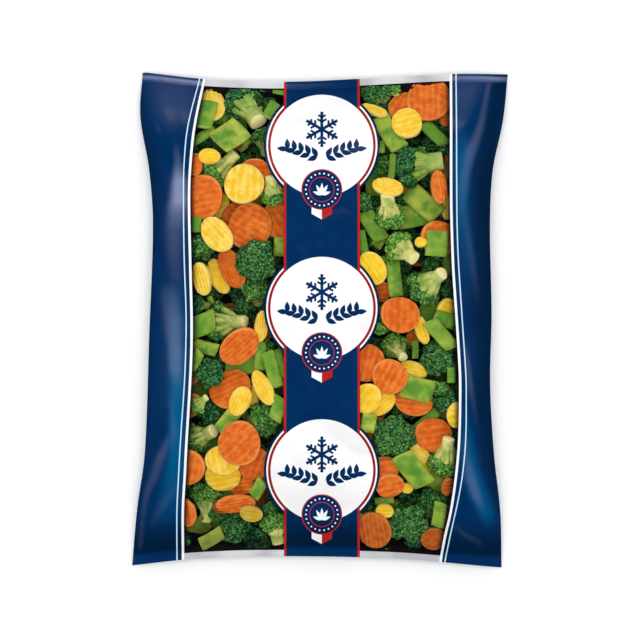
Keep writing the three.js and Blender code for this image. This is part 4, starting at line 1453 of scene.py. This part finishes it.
# One kind's pieces as one mesh, pressed under the film
def heapPiece(name, laidPieces, shapeMeshes, material, softDepth):
    shelf = bpy.data.collections.new(name + "Shapes")
    scene.collection.children.link(shelf)
    for i, mesh in enumerate(shapeMeshes):
        shelf.objects.link(bpy.data.objects.new(f"{name}Shape{i:02d}", mesh))
    points = bpy.data.meshes.new(name + "Points")
    places, turns, shapeNumbers, stretches, tints, shades = zip(*((row[:3], *row[3:]) for row in laidPieces))
    points.from_pydata([tuple(v * mm for v in place) for place in places], [], [])
    markPoints(points, "turn", turns, "FLOAT_VECTOR")
    markPoints(points, "size", stretches, "FLOAT_VECTOR")
    markPoints(points, "shape", shapeNumbers, "INT")
    markPoints(points, "tint", tints)
    markPoints(points, "shade", shades)
    mesh = grow(heapTree, {"Shapes": shelf, "Material": material}, points)
    for shapeObject in list(shelf.objects):
        bpy.data.objects.remove(shapeObject)
    bpy.data.collections.remove(shelf)
    pressUnderFilm(mesh, softDepth)
    mesh.name = name
    print(name, len(laidPieces), "pieces,", sum(len(p.vertices) - 2 for p in mesh.polygons), "triangles")
    stand(name, mesh)


def sliceShape(radius, seed, columns):
    return plainMesh("slice", *sliceMesh(radius, seed, columns))


fullLength, fullWidth, soft = beanPieces["length"], beanPieces["width"], laying["softDepth"]
sliceShapes = [sliceShape(size, 3 * size + i, slices["columns"]) for size in slices["sizes"] for i in (0, 1)]
sliceShapes.append(sliceShape(slices["sizes"][1], 5, slices["coarseColumns"]))
beanShapes = [plainMesh("bean", *beanMesh(fullLength, fullWidth, slant, i))
              for i, slant in enumerate(beanPieces["slants"])]
crownShapes = [crownMesh(i, floret["crownDetail"]) for i in range(floret["shapes"])]
crownShapes.append(crownMesh(floret["shapes"], floret["coarseDetail"]))
stemShapes = [plainMesh("stem", *stemMesh(i)) for i in range(floret["shapes"])]
for name, kind, made, slotName, depth in (
        ("carrot_slices", "carrots", sliceShapes, "carrot", soft["slices"]),
        ("yellow_carrot_slices", "yellowCarrots", sliceShapes, "yellow_carrot", soft["slices"]),
        ("bean_pieces", "beans", beanShapes, "bean", soft["slices"]),
        ("broccoli_crowns", "crowns", crownShapes, "broccoli", soft["broccoli"]),
        ("broccoli_stems", "stems", stemShapes, "broccoli", soft["broccoli"])):
    heapPiece(name, heap[kind], made, finishes[kind], depth)
heapPiece("broccoli_behind", heap["behind"], crownShapes, finishes["crowns"], soft["behind"])

# The rest of the heap, below what shows: one lumpy body, painted near-black as shade
heapCore = {
    # its colours are near-black: painted shade
    "reach": 0.93, "columns": 60, "rows": 94, "endGap": 0.0004, "colours": (srgb(6, 6, 14), srgb(18, 8, 18)),
    # Its top's share of the room inside the bag, how it swells, and how much higher it is in thin places
    "share": 0.17, "swell": 0.03, "swellScale": 1.7, "atEnds": 0.4, "endRoom": 4,
    "overBack": 1, "overBackShare": 0.3,
}


def makeHeapCore():
    across = np.linspace(-heapCore["reach"], heapCore["reach"], heapCore["columns"])
    rings = []
    gap = heapCore["endGap"]
    for share in crowdedShares(clearShares[0] + gap, clearShares[1] - gap, heapCore["rows"]):
        shares = np.full(len(across), share)
        top, bottom = frontFilm(across, shares), backFilm(across, shares)
        room, scale = top[:, 2] - bottom[:, 2], heapCore["swellScale"]
        lumpy = heapCore["share"] + heapCore["swell"] * swell(top[:, 0] * scale, top[:, 1] * scale)
        lumpy += heapCore["atEnds"] * np.exp(-room / heapCore["endRoom"])
        top[:, 2] = bottom[:, 2] + room * lumpy
        bottom[:, 2] += np.minimum(heapCore["overBack"], heapCore["overBackShare"] * room)
        rings.append(np.concatenate([bottom, top[::-1]]))
    points, faces = loftRings(np.array(rings), isFlat=True)
    material, tree, surface = newMaterial("heap_core_shade")
    patches = placeGroup(tree, mottle, Scale=70, Detail=3)
    tree.links.new(mixColour(tree, patches, *heapCore["colours"]), surface.inputs["Base Color"])
    surface.inputs["Roughness"].default_value = 0.8
    fine = placeGroup(tree, mottle, Scale=300, Detail=3)
    tree.links.new(bumpFrom(tree, fine, 0.6, deepRelief), surface.inputs["Normal"])
    makePiece("heap_core", points, faces, material)


makeHeapCore()
print("contents made")

# Camera, floor and light
studio = {
    "cameraHeight": 8.0, "sharpHeight": 0.045, "viewWidth": 0.4992, "sensor": 36,
    "lights": [  # place, width, length, watts, colour, whether it is a strip that only glosses
        ((0.0, 0.0, 3.0), 1.0, 1.0, 32, (1, 1, 1), False),
        ((-1.3, 0.1, 1.0), 0.5, 1.4, 2, (1, 1, 1), False),
        ((1.3, 0.1, 1.0), 0.5, 1.4, 2, (1, 1, 1), False),
        ((0.0, 1.4, 1.3), 1.6, 0.6, 8, (1, 1, 1), False),
        ((0.0, -1.3, 2.0), 1.2, 0.5, 6, (1, 1, 1), False),
        ((-1.3, 0.1, 1.0), 0.25, 1.3, 3.5, (0.82, 0.88, 1), True),
        ((1.3, 0.1, 1.0), 0.25, 1.3, 2.5, (0.82, 0.88, 1), True),
        ((0.0, 1.4, 1.0), 1.4, 0.3, 2.5, (0.9, 0.92, 1), True),
    ],
    "skyStrength": 0.4, "floorGlow": 0.15, "floorHalf": 3, "floorGap": 0.0003,
}
camera = bpy.data.objects.new("camera", bpy.data.cameras.new("camera"))
camera.location = (0.0, 0.0, studio["cameraHeight"])
camera.data.sensor_width = studio["sensor"]
camera.data.lens = studio["sensor"] * (studio["cameraHeight"] - studio["sharpHeight"]) / studio["viewWidth"]
scene.collection.objects.link(camera)
scene.camera = camera

for i, (place, width, length, watts, colour, onlyGlosses) in enumerate(studio["lights"]):
    lamp = bpy.data.lights.new(f"softbox{i}", "AREA")
    lamp.shape, lamp.size, lamp.size_y, lamp.energy, lamp.color = "RECTANGLE", width, length, watts, colour
    holder = bpy.data.objects.new(f"softbox{i}", lamp)
    holder.location = place
    holder.rotation_euler = (Vector((0, 0, 0)) - Vector(place)).to_track_quat("-Z", "Y").to_euler()
    holder.visible_camera = False
    holder.visible_diffuse = not onlyGlosses
    holder.visible_glossy = onlyGlosses
    scene.collection.objects.link(holder)

world = bpy.data.worlds.new("studio")
world.use_nodes = True
sky = world.node_tree.nodes["Background"].inputs
sky["Color"].default_value = (1, 1, 1, 1)
sky["Strength"].default_value = studio["skyStrength"]
world.cycles_visibility.glossy = False
scene.world = world

floorMesh = bpy.data.meshes.new("floor")
corners = [(x * studio["floorHalf"], y * studio["floorHalf"], -studio["floorGap"])
           for x, y in ((-1, -1), (1, -1), (1, 1), (-1, 1))]
floorMesh.from_pydata(corners, [], [(0, 1, 2, 3)])
floorMaterial, tree, surface = newMaterial("floor_white")
surface.inputs["Base Color"].default_value = (1, 1, 1, 1)
surface.inputs["Roughness"].default_value = 0.9
surface.inputs["Emission Color"].default_value = (1, 1, 1, 1)
surface.inputs["Emission Strength"].default_value = studio["floorGlow"]
floorMesh.materials.append(floorMaterial)
floor = bpy.data.objects.new("floor", floorMesh)
floor.visible_glossy = False
scene.collection.objects.link(floor)
print("studio made")
